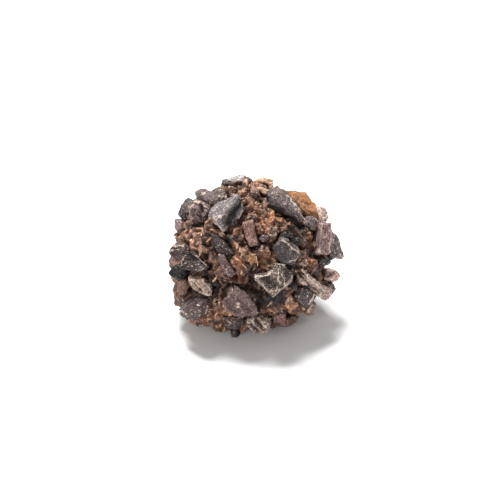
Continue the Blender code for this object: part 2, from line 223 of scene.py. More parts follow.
# %% The kinds
Kind = namedtuple("Kind", "outline crown dome falls")
KINDS = {
    "teardrop": Kind(
        ((-1.0, -0.2), (-0.7, -0.8), (-0.2, -1.0), (0.4, -0.5), (0.9, -0.2),
         (1.0, 0.3), (0.1, 0.9), (-0.5, 1.0), (-0.9, 0.6)),
        0.66, 0.16, (),
    ),
    "split_block": Kind(
        ((1.0, 0.3), (-0.3, 1.0), (-0.9, 0.9), (-1.0, -0.6), (-0.2, -1.0),
         (0.6, -0.7), (0.9, -0.1)),
        0.90, 0.04, ((-97, 42, 0.1),),
    ),
    "saddle": Kind(
        ((-1.0, 0.4), (-0.8, -0.3), (-0.3, -0.8), (0.2, -1.0), (0.7, -0.8),
         (1.0, -0.2), (0.9, 0.8), (0.1, 0.5), (-0.5, 0.8)),
        0.72, 0.06, (),
    ),
    "cup": Kind(
        ((1.0, 0.4), (0.4, 0.9), (-0.3, 1.0), (-0.9, 0.6), (-1.0, -0.2),
         (-0.6, -0.8), (0.2, -1.0), (0.9, -0.8)),
        0.74, -0.28, (),
    ),
    "pebble": Kind(
        ((1.0, -0.2), (0.9, 0.4), (0.4, 0.9), (-0.2, 1.0), (-1.0, 0.1),
         (-0.5, -0.9), (0.3, -1.0), (0.8, -0.8)),
        0.78, 0.08, (),
    ),
    "shield": Kind(
        ((-0.8, 0.8), (-1.0, -0.6), (-0.7, -1.0), (-0.1, -0.9), (0.6, -0.5),
         (1.0, 0.0), (0.9, 0.4), (-0.5, 1.0)),
        0.84, -0.10, ((68, 30, 0.1),),
    ),
    "lens": Kind(
        ((-1.0, -0.2), (-0.7, -0.9), (-0.3, -1.0), (0.4, -0.8), (1.0, -0.3),
         (0.7, 0.3), (-0.1, 1.0)),
        0.80, 0.05, ((-110, 28, 0.2),),
    ),
    "kite": Kind(
        ((-0.8, 0.9), (-0.8, 0.0), (-1.0, -0.7), (-0.7, -1.0), (0.2, -1.0),
         (1.0, -0.4), (0.3, 0.6), (-0.5, 1.0)),
        0.92, 0.02, ((200, 34, 0.55), (15, 22, 0.30)),
    ),
    "lump": Kind(
        ((1.0, 0.0), (0.6, 0.9), (0.2, 1.0), (-0.1, 0.5), (-1.0, 0.4),
         (-0.3, -1.0), (0.1, -1.0), (0.9, -0.4)),
        0.86, 0.05, ((100, 36, 0.15), (-5, 30, 0.55)),
    ),
    "rib": Kind(
        ((-1.0, 0.0), (-0.6, -1.0), (-0.2, -0.6), (0.2, -0.7), (0.8, -0.8),
         (1.0, 0.1), (0.8, 1.0), (0.3, 0.6), (-0.8, 1.0)),
        0.68, 0.06, (),
    ),
    "brick": Kind(
        ((1.0, -0.4), (0.9, 0.8), (0.6, 1.0), (-0.7, 0.9), (-1.0, 0.4),
         (-0.9, -0.6), (-0.3, -1.0), (0.6, -0.9)),
        0.90, 0.03, ((5, 38, 0.7),),
    ),
    "plank": Kind(
        ((1.0, 0.9), (-1.0, 1.0), (-0.9, -1.0), (0.5, -1.0), (1.0, -0.6)),
        0.88, 0.02, (),
    ),
    "spur": Kind(
        ((-1.0, 0.5), (0.1, -0.6), (0.8, -1.0), (0.8, -0.2), (1.0, 0.7), (0.6, 1.0), (-0.8, 0.9)),
        0.80, 0.05, ((-100, 30, 0.1),),
    ),
    "strip": Kind(
        ((-1.0, 0.1), (-0.5, -0.8), (0.5, -1.0), (1.0, -0.2), (0.9, 0.8), (-0.8, 0.9)),
        0.66, 0.10, (),
    ),
}
print("kinds of nib:", len(KINDS))

# %% [markdown]
# ## One chip of a kind
#
# A nib is widest at a shoulder part of the way up. So the outline is filled with one face and extruded
# twice: out to the shoulder, then in to a smaller crown. Poking the crown gives it a middle that can rise
# or sink. Planes then cut the chip as a bean breaks, in flat falls. A box could be carved instead, but this
# way each kind keeps the outline that it is known by, and the chip stays closed.

# %% Raise a chip and break it
FOOT_SPREAD = 0.8
SHOULDER_SHARE = 0.62


def raised_face(bm, face, rise, spread):
    """Extrudes a face upward by rise, makes it spread times as large, and returns the new face."""
    made = bmesh.ops.extrude_face_region(bm, geom=[face])["geom"]
    (top,) = [item for item in made if isinstance(item, bmesh.types.BMFace)]
    bmesh.ops.translate(bm, vec=(0, 0, rise), verts=top.verts)
    bmesh.ops.scale(bm, vec=(spread, spread, 1), verts=top.verts)
    return top


def break_off(bm, towards, steepness, start, top):
    """Breaks a nib off along a plane that starts at its top and falls at this steepness in this direction."""
    level = Vector((math.cos(math.radians(towards)), math.sin(math.radians(towards)), 0))
    normal = level * math.sin(math.radians(steepness))
    normal.z = math.cos(math.radians(steepness))
    cut = bmesh.ops.bisect_plane(
        bm,
        geom=[*bm.verts, *bm.edges, *bm.faces],
        plane_co=level * start + Vector((0, 0, top)),
        plane_no=normal,
        clear_outer=True,
    )
    rim = [item for item in cut["geom_cut"] if isinstance(item, bmesh.types.BMEdge)]
    bmesh.ops.holes_fill(bm, edges=rim)


def chip(kind, length, width, thickness):
    """One nib lying flat, in millimetres: out to a shoulder, in to a crown, and broken along its falls."""
    bm = bmesh.new()
    corners = [
        bm.verts.new((x * FOOT_SPREAD * length / 2, y * FOOT_SPREAD * width / 2, -thickness / 2))
        for x, y in kind.outline
    ]
    foot = bm.faces.new(corners)
    shoulder = raised_face(bm, foot, SHOULDER_SHARE * thickness, 1 / FOOT_SPREAD)
    crown = raised_face(bm, shoulder, (1 - SHOULDER_SHARE) * thickness, kind.crown)
    bmesh.ops.delete(bm, geom=[shoulder], context="FACES_ONLY")
    bmesh.ops.poke(bm, faces=[crown], offset=kind.dome * thickness)
    bmesh.ops.recalc_face_normals(bm, faces=bm.faces)
    for towards, steepness, start in kind.falls:
        break_off(bm, towards, steepness, start * width / 2, thickness / 2)
    bmesh.ops.recalc_face_normals(bm, faces=bm.faces)
    return bm


sample = chip(KINDS["split_block"], 6, 4.5, 2.4)
print("faces of a split block:", len(sample.faces))
sample.free()

# %% [markdown]
# ## Finishes of bean and nut
#
# Dried bean isn't one brown. Slate and ash are where its skin is rubbed thin, plum and charcoal where it is
# bare, and black where it is bare and lies in deep shade, which is painted into its colour. Smooth is where
# the skin is whole. Paste stains it rosy or umber. On husked, tan and crusted nibs the papery shell still
# clings, and nut and nut_skin are pieces of nut. With each colour go three amounts: how pale its worn edges
# are, how much husk lies in its folds, and how roughly it broke. Nibs whose finishes are alike share a
# piece, so that a few materials do for all of them.

# %% The finishes
def linear(red, green, blue):
    """A colour as picked from a chart, 0 to 255, turned into the amounts of light that Blender mixes."""
    shares = [value / 255 for value in (red, green, blue)]
    return tuple(s / 12.92 if s <= 0.04045 else ((s + 0.055) / 1.055) ** 2.4 for s in shares)


Finish = namedtuple("Finish", "piece colour rim husk breaks")
FINISHES = {
    "slate": Finish("slate_nibs", linear(98, 93, 93), 0.70, 0.15, 0.15),
    "ash": Finish("slate_nibs", linear(112, 98, 97), 0.70, 0.25, 0.20),
    "charcoal": Finish("dark_nibs", linear(70, 64, 65), 0.65, 0.15, 0.4),
    # Painted shade: black is darker than bare bean, for nibs that lie in deep shade.
    "black": Finish("dark_nibs", linear(30, 29, 32), 0.30, 0.10, 0.4),
    "plum": Finish("dark_nibs", linear(94, 77, 76), 0.75, 0.20, 0.3),
    "smooth": Finish("dark_nibs", linear(97, 78, 76), 0.50, 0.05, 0.1),
    "rosy": Finish("umber_nibs", linear(138, 106, 98), 0.60, 0.35, 0.6),
    "umber": Finish("umber_nibs", linear(124, 96, 84), 0.70, 0.35, 0.8),
    "husked": Finish("husked_nibs", linear(100, 84, 78), 0.95, 0.90, 0.8),
    "tan": Finish("husked_nibs", linear(158, 136, 122), 1.00, 0.30, 0.3),
    "crusted": Finish("husked_nibs", linear(156, 138, 128), 1.00, 1.00, 1.0),
    "nut": Finish("nut_pieces", linear(172, 122, 86), 0.30, 0.00, 0.15),
    "nut_skin": Finish("nut_pieces", linear(204, 164, 136), 0.60, 0.40, 0.5),
}
print("finishes:", ", ".join(FINISHES))

# %% [markdown]
# ## The nibs that show
#
# The nibs of the side that is shown have a row each, as a cook would press them in one by one. A row gives
# the kind, the place right of and above the ball's middle, the turn in degrees, the length, width and
# thickness, how far the nib faces the eye instead of away from the ball, how far it stands out, its finish,
# and how light it is beside others of that finish. Lengths are in millimetres.

# %% The nibs of the front, one by one
Nib = namedtuple("Nib", "name kind right up turn length width thickness facing raised finish light")
FRONT_NIBS = (
    # Upper left.
    Nib("split", "split_block", -3.4, 6.9, 47, 6.0, 4.5, 2.4, 0.25, 1.0, "slate", 1.55),
    Nib("cupped", "pebble", -8.1, 6.9, 60, 4.4, 3.7, 2.6, 0.45, 0.4, "plum", 1.12),
    Nib("saddle", "saddle", -6.4, 9.4, -4, 5.6, 3.0, 2.6, 0.45, 0.6, "ash", 0.80),
    Nib("dark_end", "strip", -10.2, 7.4, 62, 3.9, 2.3, 2.2, 0.45, 0.0, "charcoal", 1.00),
    Nib("left_bud", "pebble", -11.4, 4.6, 100, 2.9, 1.7, 1.8, 0.45, -0.1, "plum", 1.46),
    Nib("left_band", "pebble", -11.4, 0.6, 5, 3.7, 2.9, 2.6, 0.50, 0.3, "plum", 0.70),
    # Top.
    Nib("top_cap", "spur", -2.1, 12.0, 18, 3.6, 1.6, 1.6, 0.50, 0.4, "slate", 2.45),
    Nib("top_skin", "shield", -0.8, 11.5, 75, 2.2, 1.3, 1.0, 0.60, 0.1, "nut_skin", 1.00),
    Nib("top_nut", "pebble", -3.0, 10.6, -30, 1.9, 1.4, 1.4, 0.50, -0.1, "nut_skin", 0.95),
    Nib("top_chunk", "strip", 0.6, 9.9, -55, 3.3, 1.7, 1.8, 0.35, 0.1, "umber", 1.00),
    Nib("top_nut_end", "pebble", 1.9, 10.4, -25, 3.0, 1.3, 1.8, 0.55, 0.0, "nut_skin", 0.80),
    # Upper right.
    Nib("long_bean", "teardrop", 5.8, 8.0, -42, 8.1, 3.3, 2.3, 0.25, 1.2, "ash", 0.74),
    Nib("big_nut", "lens", 8.3, 8.5, -33, 8.2, 3.4, 2.4, 0.45, 0.5, "nut", 0.86),
    Nib("crusted", "pebble", 11.6, 6.5, -72, 3.4, 2.2, 1.8, 0.50, 0.4, "crusted", 1.85),
    Nib("lilac_bud", "pebble", 9.9, 5.2, -45, 2.7, 1.8, 1.8, 0.35, 0.5, "ash", 1.00),
    Nib("plank", "plank", 12.0, 2.6, 85, 5.3, 2.2, 2.2, 0.60, 0.6, "plum", 1.98),
    Nib("right_corner", "spur", 13.6, 1.4, -68, 5.2, 2.2, 2.2, 0.60, 0.4, "slate", 1.26),
    # Middle.
    Nib("log", "plank", 0.1, 3.5, -78, 4.2, 1.8, 1.6, 0.20, 0.5, "rosy", 0.84),
    Nib("dark_strip", "strip", -4.7, 1.5, -52, 4.8, 2.1, 1.7, 0.20, 0.4, "plum", 0.35),
    Nib("thin_strip", "strip", -3.9, -1.7, -58, 4.3, 1.4, 1.5, 0.20, 0.4, "plum", 1.16),
    Nib("black_block", "brick", 5.7, 0.5, -50, 4.5, 3.3, 2.4, 0.20, 0.9, "charcoal", 1.50),
    Nib("block_lid", "lens", 5.7, 3.1, 20, 2.6, 1.4, 1.6, 0.20, 0.3, "plum", 0.19),
    Nib("small_bud", "pebble", 2.2, 2.6, 10, 1.5, 1.2, 1.4, 0.20, 0.1, "plum", 1.00),
    Nib("big_lump", "lump", 3.8, -3.8, 10, 6.4, 4.8, 2.7, 0.25, 1.0, "husked", 0.87),
    # Lower left.
    Nib("dished", "shield", -8.9, -1.3, -25, 4.5, 3.1, 2.6, 0.30, 0.9, "smooth", 0.34),
    Nib("left_black", "brick", -11.5, -2.8, -30, 2.8, 2.4, 2.0, 0.40, 0.0, "black", 0.13),
    Nib("husked_lens", "lens", -7.8, -4.7, -40, 5.1, 2.7, 2.2, 0.30, 0.7, "tan", 0.97),
    Nib("flat_plum", "pebble", -9.1, -8.7, 15, 4.6, 3.0, 2.4, 0.40, 0.3, "smooth", 0.47),
    Nib("black_sliver", "strip", -5.8, -4.1, -45, 2.8, 1.3, 1.5, 0.20, 0.0, "black", 1.00),
    Nib("brown_edge", "pebble", -10.8, -5.1, 80, 3.1, 1.9, 1.8, 0.40, -0.2, "umber", 1.00),
    # Lower middle.
    Nib("kite", "kite", -1.4, -7.4, -20, 6.4, 4.4, 2.6, 0.30, 1.0, "smooth", 1.20),
    Nib("under_kite", "brick", -2.7, -10.5, -15, 3.4, 2.2, 2.0, 0.40, 0.0, "charcoal", 0.95),
    Nib("foot", "spur", -2.7, -13.2, -75, 2.9, 1.7, 1.7, 0.30, 0.3, "charcoal", 1.19),
    Nib("crumpled", "cup", 1.4, -11.1, 0, 3.8, 3.0, 2.2, 0.40, 0.7, "husked", 2.10),
    Nib("brown_leaf", "shield", 4.9, -10.2, -60, 3.4, 2.8, 1.8, 0.45, 0.4, "rosy", 0.94),
    # Lower right.
    Nib("ribbed", "rib", 10.2, -4.7, -37, 7.4, 2.2, 2.4, 0.40, 0.7, "husked", 2.95),
    Nib("ear", "pebble", 13.4, -3.3, 30, 2.4, 2.0, 2.0, 0.55, 0.4, "husked", 5.33),
    Nib("ear_link", "pebble", 12.7, -5.6, 70, 3.0, 1.7, 2.0, 0.55, 0.2, "husked", 1.40),
    Nib("right_chip", "pebble", 11.8, -1.2, 30, 2.4, 1.6, 1.6, 0.50, 0.1, "charcoal", 1.00),
    Nib("right_block", "brick", 8.8, -6.6, -40, 3.2, 3.0, 2.4, 0.40, 0.4, "charcoal", 1.05),
    Nib("right_sliver", "strip", 9.9, -8.9, 65, 2.6, 1.6, 1.5, 0.40, 0.3, "husked", 2.60),
    Nib("low_sliver", "strip", 6.4, -10.8, 24, 3.4, 1.3, 1.5, 0.40, 0.3, "umber", 0.60),
)
print("nibs of the front:", len(FRONT_NIBS))

# %% [markdown]
# ## Setting a nib in the paste
#
# Seen from the front, each nib's outline has to stay as it was drawn, however the ball curves away under
# it. So its axes are drawn in the front plane and slid straight back on to the nib's own plane. Where the
# nib sits follows from how far the paste reaches there, and that from where the nib sits, so a few rounds
# settle it.

# %% The places of the front's nibs
Place = namedtuple("Place", "middle x_axis y_axis outward")
SUNK_SHARE = 0.22
SETTLING_ROUNDS = 4


def laid_back(axis, outward):
    """An axis of the front plane, slid straight back on to the plane that outward is square to."""
    return axis - axis.dot(outward) / outward.dot(FORWARD) * FORWARD


def front_place(nib):
    """Where a nib of the front half sits, so that its outline keeps its size and turn in the front plane."""
    sideways = math.hypot(nib.right, nib.up)
    forward = PASTE_RADIUS / MM
    for _ in range(SETTLING_ROUNDS):
        direction = in_front_plane(nib.right, nib.up, forward).normalized()
        reach = paste_reach(direction) / MM + nib.raised - SUNK_SHARE * nib.thickness
        forward = math.sqrt(max(0, reach * reach - sideways * sideways))
    middle = BALL_MIDDLE + in_front_plane(nib.right, nib.up, forward) * MM
    outward = direction.lerp(FORWARD, nib.facing).normalized()
    turn = math.radians(nib.turn)
    along = in_front_plane(math.cos(turn), math.sin(turn), 0)
    across = in_front_plane(-math.sin(turn), math.cos(turn), 0)
    return Place(middle, laid_back(along, outward), laid_back(across, outward), outward)


front_nibs_and_places = [(nib, front_place(nib)) for nib in FRONT_NIBS]
highest = max(place.middle.z for _, place in front_nibs_and_places)
print("the highest nib of the front, mm:", round(highest / MM, 1))

# %% [markdown]
# ## The half that faces away
#
# Nobody would place the hidden nibs one by one. The places of a sunflower spiral spread them evenly, and a
# seeded draw gives each a kind, sizes and a turn. The seed is the solid's, so each nib lies where the solid
# has it. One of them shows over the crown, where it is a piece of nut.

# %% The places of the back's nibs
BACK_SEED = 11
SPIRAL_PLACES = 84
GOLDEN_ANGLE = math.pi * (3 - math.sqrt(5))
SPIRAL_JITTER = 0.07
BACK_LIMIT = -0.02
LOWEST_BACK_NIB = -0.80
BACK_LENGTHS = (3.0, 6.6)
BACK_WIDTH_SHARES = (0.45, 0.75)
BACK_THICKNESSES = (1.5, 2.6)
BACK_FINISHES = (
    "slate", "plum", "charcoal", "ash", "plum", "husked", "slate", "umber", "charcoal", "nut", "husked",
)
OVER_THE_CROWN = {11: "nut_skin"}


def back_place(direction, turn, thickness):
    """Where a nib of the back half sits: flat on the paste in this direction, and turned on it by turn."""
    middle = BALL_MIDDLE + direction * (paste_reach(direction) - SUNK_SHARE * thickness)
    level = direction.orthogonal().normalized()
    along = Matrix.Rotation(turn, 3, direction) @ level
    return Place(middle, along, direction.cross(along), direction)


def back_nibs():
    """The nibs of the half that faces away, with their places."""
    draw = random.Random(BACK_SEED)
    kinds = sorted(KINDS)
    found = []
    for number in range(SPIRAL_PLACES):
        height = 1 - 2 * (number + 0.5) / SPIRAL_PLACES
        ring = math.sqrt(1 - height * height)
        around = number * GOLDEN_ANGLE
        direction = Vector((ring * math.cos(around), ring * math.sin(around), height))
        direction += Vector([draw.uniform(-SPIRAL_JITTER, SPIRAL_JITTER) for _ in range(3)])
        direction.normalize()
        kind = draw.choice(kinds)
        length = draw.uniform(*BACK_LENGTHS)
        width = length * draw.uniform(*BACK_WIDTH_SHARES)
        thickness = draw.uniform(*BACK_THICKNESSES)
        turn = draw.uniform(0, math.tau)
        if direction.dot(FORWARD) > BACK_LIMIT or direction.z < LOWEST_BACK_NIB:
            continue
        finish = OVER_THE_CROWN.get(number, BACK_FINISHES[len(found) % len(BACK_FINISHES)])
        nib = Nib(f"back_{number}", kind, 0, 0, 0, length, width, thickness, 0, 0, finish, 1)
        found.append((nib, back_place(direction, turn, thickness * MM)))
    return found


nibs_and_places = front_nibs_and_places + back_nibs()
print("nibs in all:", len(nibs_and_places))

# %% [markdown]
# ## Pieces and their points
#
# The pieces of the bite go in one collection. Many of their points are moved at once below, so a few small
# helpers read a mesh's points as a table, write them back, and keep numbers and colours with them.

# %% Helpers for pieces
root = bpy.data.collections.new("raw_cacao_bite")
bpy.context.scene.collection.children.link(root)


def new_piece(name, bm):
    """A piece of the bite, made of what bm holds."""
    mesh = bpy.data.meshes.new(name)
    bm.to_mesh(mesh)
    bm.free()
    made = bpy.data.objects.new(name, mesh)
    root.objects.link(made)
    return made


def points_of(mesh):
    """The places of a mesh's points, one row each."""
    found = np.empty(len(mesh.vertices) * 3, dtype=np.float32)
    mesh.vertices.foreach_get("co", found)
    return found.reshape(-1, 3).astype(np.float64)


def normals_of(mesh):
    """Which way the surface faces at each point of a mesh."""
    found = np.empty(len(mesh.vertices) * 3, dtype=np.float32)
    mesh.vertices.foreach_get("normal", found)
    return found.reshape(-1, 3).astype(np.float64)


def move(mesh, points):
    """Puts a mesh's points in these places."""
    mesh.vertices.foreach_set("co", points.astype(np.float32).ravel())
    mesh.update()


def store(mesh, name, values):
    """Keeps a number, a place or a colour for each point of a mesh, for its material to read."""
    values = np.asarray(values, dtype=np.float32)
    if values.ndim == 1:
        mesh.attributes.new(name, "FLOAT", "POINT").data.foreach_set("value", values)
        return
    if name != "colour":
        mesh.attributes.new(name, "FLOAT_VECTOR", "POINT").data.foreach_set("vector", values.ravel())
        return
    opaque = np.column_stack((values, np.ones(len(values), dtype=np.float32)))
    mesh.color_attributes.new(name, "FLOAT_COLOR", "POINT").data.foreach_set("color", opaque.ravel())


print("collection:", root.name)

# %% [markdown]
# ## Shades and tones of the paste
#
# Chopped date, nut meal and specks of bean run from dark brown to cream, so the paste's colour is a run of
# shades, and its lightness picks one; below zero the run goes on to nearly black, for painted shadow.
# It isn't even all over: where more nut was pressed a patch is lighter, and next to a nib or in a hollow it
# is painted darker, as shade falls there. Each such tone has a place in the front plane, a spread in
# millimetres and an amount.

# %% The run of shades, and the patches
PASTE_SHADES = (
    # Below zero: nearly black, for the painted shadow in deep gaps and holes.
    (-0.60, linear(24, 20, 20)),
    (0.00, linear(68, 40, 30)),
    (0.25, linear(109, 70, 51)),
    (0.50, linear(146, 99, 74)),
    (0.75, linear(184, 137, 105)),
    (1.00, linear(228, 191, 157)),
)
Tone = namedtuple("Tone", "right up spread lightness")
TONES_AND_SHADOWS = (
    Tone(2.6, 6.6, 2.2, 0.2),
    Tone(0.1, 6.2, 1.0, -0.55),
    Tone(1.6, 8.8, 1.0, -0.32),
    Tone(-7.8, 2.4, 2.0, -0.56),
    Tone(-6.2, 3.8, 0.9, 1.5),
    Tone(-1.9, 1.9, 1.2, 0.26),
    Tone(-1.8, -1.2, 1.2, 0.14),
    Tone(3.1, -1.0, 1.2, 1.0),
    Tone(1.3, 0.6, 1.3, -0.3),
    Tone(-1.0, -3.8, 1.8, -0.34),
    Tone(8.4, 3.2, 1.8, -0.86),
    Tone(8.4, -1.5, 1.0, -0.55),
    # Painted shadow: a deep gap between nibs.
    Tone(4.6, -7.6, 1.6, -1.4),
    Tone(7.2, -9.2, 1.4, 0.32),
    Tone(-6.0, -11.0, 2.2, 0.10),
    Tone(-11.2, -6.8, 1.2, -0.3),
    # Painted shadow: the small dark tones from here on lie in the gaps and holes between nibs.
    Tone(2.7, -9.1, 0.8, -1.40),
    Tone(7.7, -5.5, 0.7, -1.20),
    Tone(11.7, -4.2, 0.7, -1.20),
    Tone(6.5, -1.9, 0.7, -1.20),
    Tone(-8.0, -3.1, 0.8, -1.20),
    Tone(-5.6, -0.7, 0.4, -1.20),
    Tone(-7.0, -6.7, 0.7, -0.90),
    Tone(8.1, 6.3, 0.8, -1.2),
    Tone(9.4, 5.2, 0.8, -1.2),
    Tone(-3.7, 3.2, 0.8, -0.90),
)
TONE_REACH = 13.5
JUST_BELOW_ONE = 0.9999


def shade(shades, share):
    """The colour at a share of a run of shades."""
    share = min(JUST_BELOW_ONE, max(shades[0][0], share))
    for (low, dark), (high, light) in zip(shades, shades[1:]):
        if share < high:
            part = (share - low) / (high - low)
            return [d + part * (l - d) for d, l in zip(dark, light)]


def tone_and_shade_at(direction):
    """Lightness of the paste here: patches of more nut or date, and painted shade by nibs and hollows."""
    lightness = 0
    for tone in TONES_AND_SHADOWS:
        sideways = math.hypot(tone.right, tone.up)
        centre = in_front_plane(tone.right, tone.up, math.sqrt(TONE_REACH ** 2 - sideways ** 2)).normalized()
        away = (direction - centre).length * PASTE_RADIUS / MM / tone.spread
        lightness += tone.lightness * math.exp(-away * away)
    return lightness


print("shade at half lightness:", [round(channel, 3) for channel in shade(PASTE_SHADES, 0.5)])

# %% [markdown]
# ## Crumbs, torn skins and fibres
#
# Close to, the paste is chopped date, nut meal and bits of skin, stuck together at all angles. Worley noise
# cuts space into cells, and each cell is one flat crumb with its own height, tilt and lightness, so that
# neighbours meet in small cliffs and creases, and the creases are painted darker as shade. Two sizes of crumb
# are laid over each other. Space is bent a little first, so that no crumb has straight sides. Date skin tears
# into flaps that overlap: plain noise, cut off steeply above and below, gives them a curled edge, painted
# lighter as a highlight, and a foot painted dark as shade. Ridged noise adds the fibres, and their ridges are
# painted lighter as a highlight. Blender's vector noise starts from the clock unless it is given a seed, so
# it is given one, and the bite comes out the same each time.

# %% The height and the lightness of crumbs, flaps and fibres
NOISE_SEED = 8
noise.seed_set(NOISE_SEED)
Crumbs = namedtuple("Crumbs", "width tilt unevenness crease bend")
COARSE_CRUMBS = Crumbs(1.8 * MM, 0.22 * MM, 0.16 * MM, 0.06 * MM, 0.7 * MM)
FINE_CRUMBS = Crumbs(0.75 * MM, 0.15 * MM, 0.08 * MM, 0.04 * MM, 0.35 * MM)
CREASE_SHARPNESS = 3.0
NUMBER_STRIDE, SLOPE_STRIDE = 37, 53
ONES = Vector((1, 1, 1))
Skin = namedtuple("Skin", "width height")
SKINS = (Skin(1.9 * MM, 0.18 * MM), Skin(1.1 * MM, 0.14 * MM))
TEAR = 0.15


def crumb_at(spot, crumbs):
    """The crumb at a spot: its height there, how far inside it the spot is (0 to 1), and its own number."""
    bent = (spot + crumbs.bend * noise.noise_vector(spot / crumbs.width)) / crumbs.width
    distances, middles = noise.voronoi(bent)
    inside = min(1, CREASE_SHARPNESS * (distances[1] - distances[0]))
    number = noise.cell(middles[0] * NUMBER_STRIDE)
    slope = 2 * noise.cell_vector(middles[0] * SLOPE_STRIDE) - ONES
    height = crumbs.tilt * slope.dot(bent - middles[0]) + crumbs.unevenness * (number - 0.5)
    return height - crumbs.crease * (1 - inside), inside, number


def torn_skin(spot, skin):
    """A torn flap: the height across its tear, and how near its lit edge (1) or shaded foot (-1) is."""
    across = noise.noise(spot / skin.width) / TEAR
    height = skin.height * max(-1, min(1, across))
    return height, max(0, 1 - abs(across - 1)) - max(0, 1 - abs(across + 1))


print("a coarse crumb's height, mm:", round(crumb_at(ONES * PASTE_RADIUS, COARSE_CRUMBS)[0] / MM, 2))

# %% All of it together
FIBRE_HEIGHT = 0.10 * MM
FIBRE_WIDTH = 0.8 * MM
PASTE_SINK = 0.15 * MM
BLOTCH_WIDTH = 4 * MM
BASE_LIGHT = 0.06
CRUMB_LIGHT = 0.24
BLOTCH_LIGHT = 0.22
FIBRE_RIDGE_HIGHLIGHT = 0.16
CURL_HIGHLIGHT_AND_SHADE = 0.26
OPEN_SHARE, SHELTERED_SHARE = 0.8, 0.2


def paste_at(direction):
    """How far the finished paste reaches in a direction, and its colour there."""
    spot = direction * PASTE_RADIUS
    coarse_height, coarse_inside, coarse_number = crumb_at(spot, COARSE_CRUMBS)
    fine_height, fine_inside, fine_number = crumb_at(spot, FINE_CRUMBS)
    fibre = 1 - 2 * abs(noise.noise(spot / FIBRE_WIDTH))
    tears = [torn_skin(spot + skin.width * ONES, skin) for skin in SKINS]
    reach = paste_reach(direction) - PASTE_SINK + coarse_height + fine_height + FIBRE_HEIGHT * fibre
    reach += sum(height for height, _ in tears)
    lightness = BASE_LIGHT + tone_and_shade_at(direction) + CRUMB_LIGHT * coarse_number + CRUMB_LIGHT * fine_number
    # Painted highlight: fibre ridges are made lighter.
    lightness += BLOTCH_LIGHT * noise.noise(spot / BLOTCH_WIDTH) + FIBRE_RIDGE_HIGHLIGHT * fibre
    # Painted highlight and shade: flaps lighter at their curled edges, darker at their feet.
    lightness += CURL_HIGHLIGHT_AND_SHADE * sum(edge for _, edge in tears)
    # Painted shade: the colour is darkened towards the creases between crumbs.
    crease_shade = (OPEN_SHARE + SHELTERED_SHARE * coarse_inside) * (OPEN_SHARE + SHELTERED_SHARE * fine_inside)
    return reach, [channel * crease_shade for channel in shade(PASTE_SHADES, lightness)]


print("the finished paste reaches forward, mm:", round(paste_at(FORWARD)[0] / MM, 1))

# %% [markdown]
# ## Moats round the nibs
#
# A nib that is pushed in tears the paste, so round each nib the paste falls away in a narrow moat, and its
# deep shadow is what sets the nib off. Each point is measured along the nib's own axes: the moat runs where
# the nib's ellipse ends, and under the nib the paste stays a little sunk.

# %% How deep the moats are
MOAT_DEPTH = 0.95 * MM
MOAT_MIDDLE = 1.00
MOAT_WIDTH = 0.22
UNDER_NIB = 0.45


def moat_depth(points):
    """How deep the moats round the nibs are at each of these points."""
    depth = np.zeros(len(points))
    for nib, place in nibs_and_places:
        axes = np.array((place.x_axis, place.y_axis, place.outward)).T
        along, across, above = np.linalg.solve(axes, (points - np.array(place.middle)).T) / MM
        out = np.hypot(along / (nib.length / 2), across / (nib.width / 2))
        near = np.exp(-(((out - MOAT_MIDDLE) / MOAT_WIDTH) ** 2)) * (np.abs(above) < nib.thickness)
        under = (out < MOAT_MIDDLE) & (np.abs(above) < nib.thickness)
        near[under] = np.maximum(near[under], UNDER_NIB)
        depth = np.maximum(depth, near * MOAT_DEPTH)
    return depth


first_middle = np.array([nibs_and_places[0][1].middle])
print("moat under the first nib, mm:", round(moat_depth(first_middle)[0] / MM, 2))

# %% [markdown]
# ## Making the paste
#
# The ball starts as a cube cut into a fine grid and blown up to a sphere, because its squares stay nearly
# equal, where a globe's crowd together at the poles. The tangent spreads them evenly. Each point then goes
# out to the paste's surface and takes its crumb's colour along, painted darker as shade in a moat.

# %% Blow up the ball and cover it in crumbs
GRID_CUTS = 127
MOAT_SHADE = 0.65
FLOOR_GAP = 0.02 * MM

paste_bm = bmesh.new()
bmesh.ops.create_cube(paste_bm, size=2)
bmesh.ops.subdivide_edges(paste_bm, edges=paste_bm.edges, cuts=GRID_CUTS, use_grid_fill=True)
paste = new_piece("paste", paste_bm)
directions = np.tan(points_of(paste.data) * math.pi / 4)
directions /= np.linalg.norm(directions, axis=1)[:, None]
reach_and_colour = [paste_at(Vector(direction)) for direction in directions]
reaches = np.array([reach for reach, _ in reach_and_colour])
surface = np.array(BALL_MIDDLE) + directions * reaches[:, None]
moats = moat_depth(surface)
surface -= directions * moats[:, None]
# Painted shade: the paste's colour darkens with the depth of the moat.
shaded = (1 - MOAT_SHADE * moats / MOAT_DEPTH)[:, None]
colours = np.array([colour for _, colour in reach_and_colour]) * shaded
surface[:, 2] = np.maximum(surface[:, 2], FLOOR_GAP)
move(paste.data, surface)
store(paste.data, "colour", colours)
paste.data.shade_smooth()
print("paste faces:", len(paste.data.polygons))
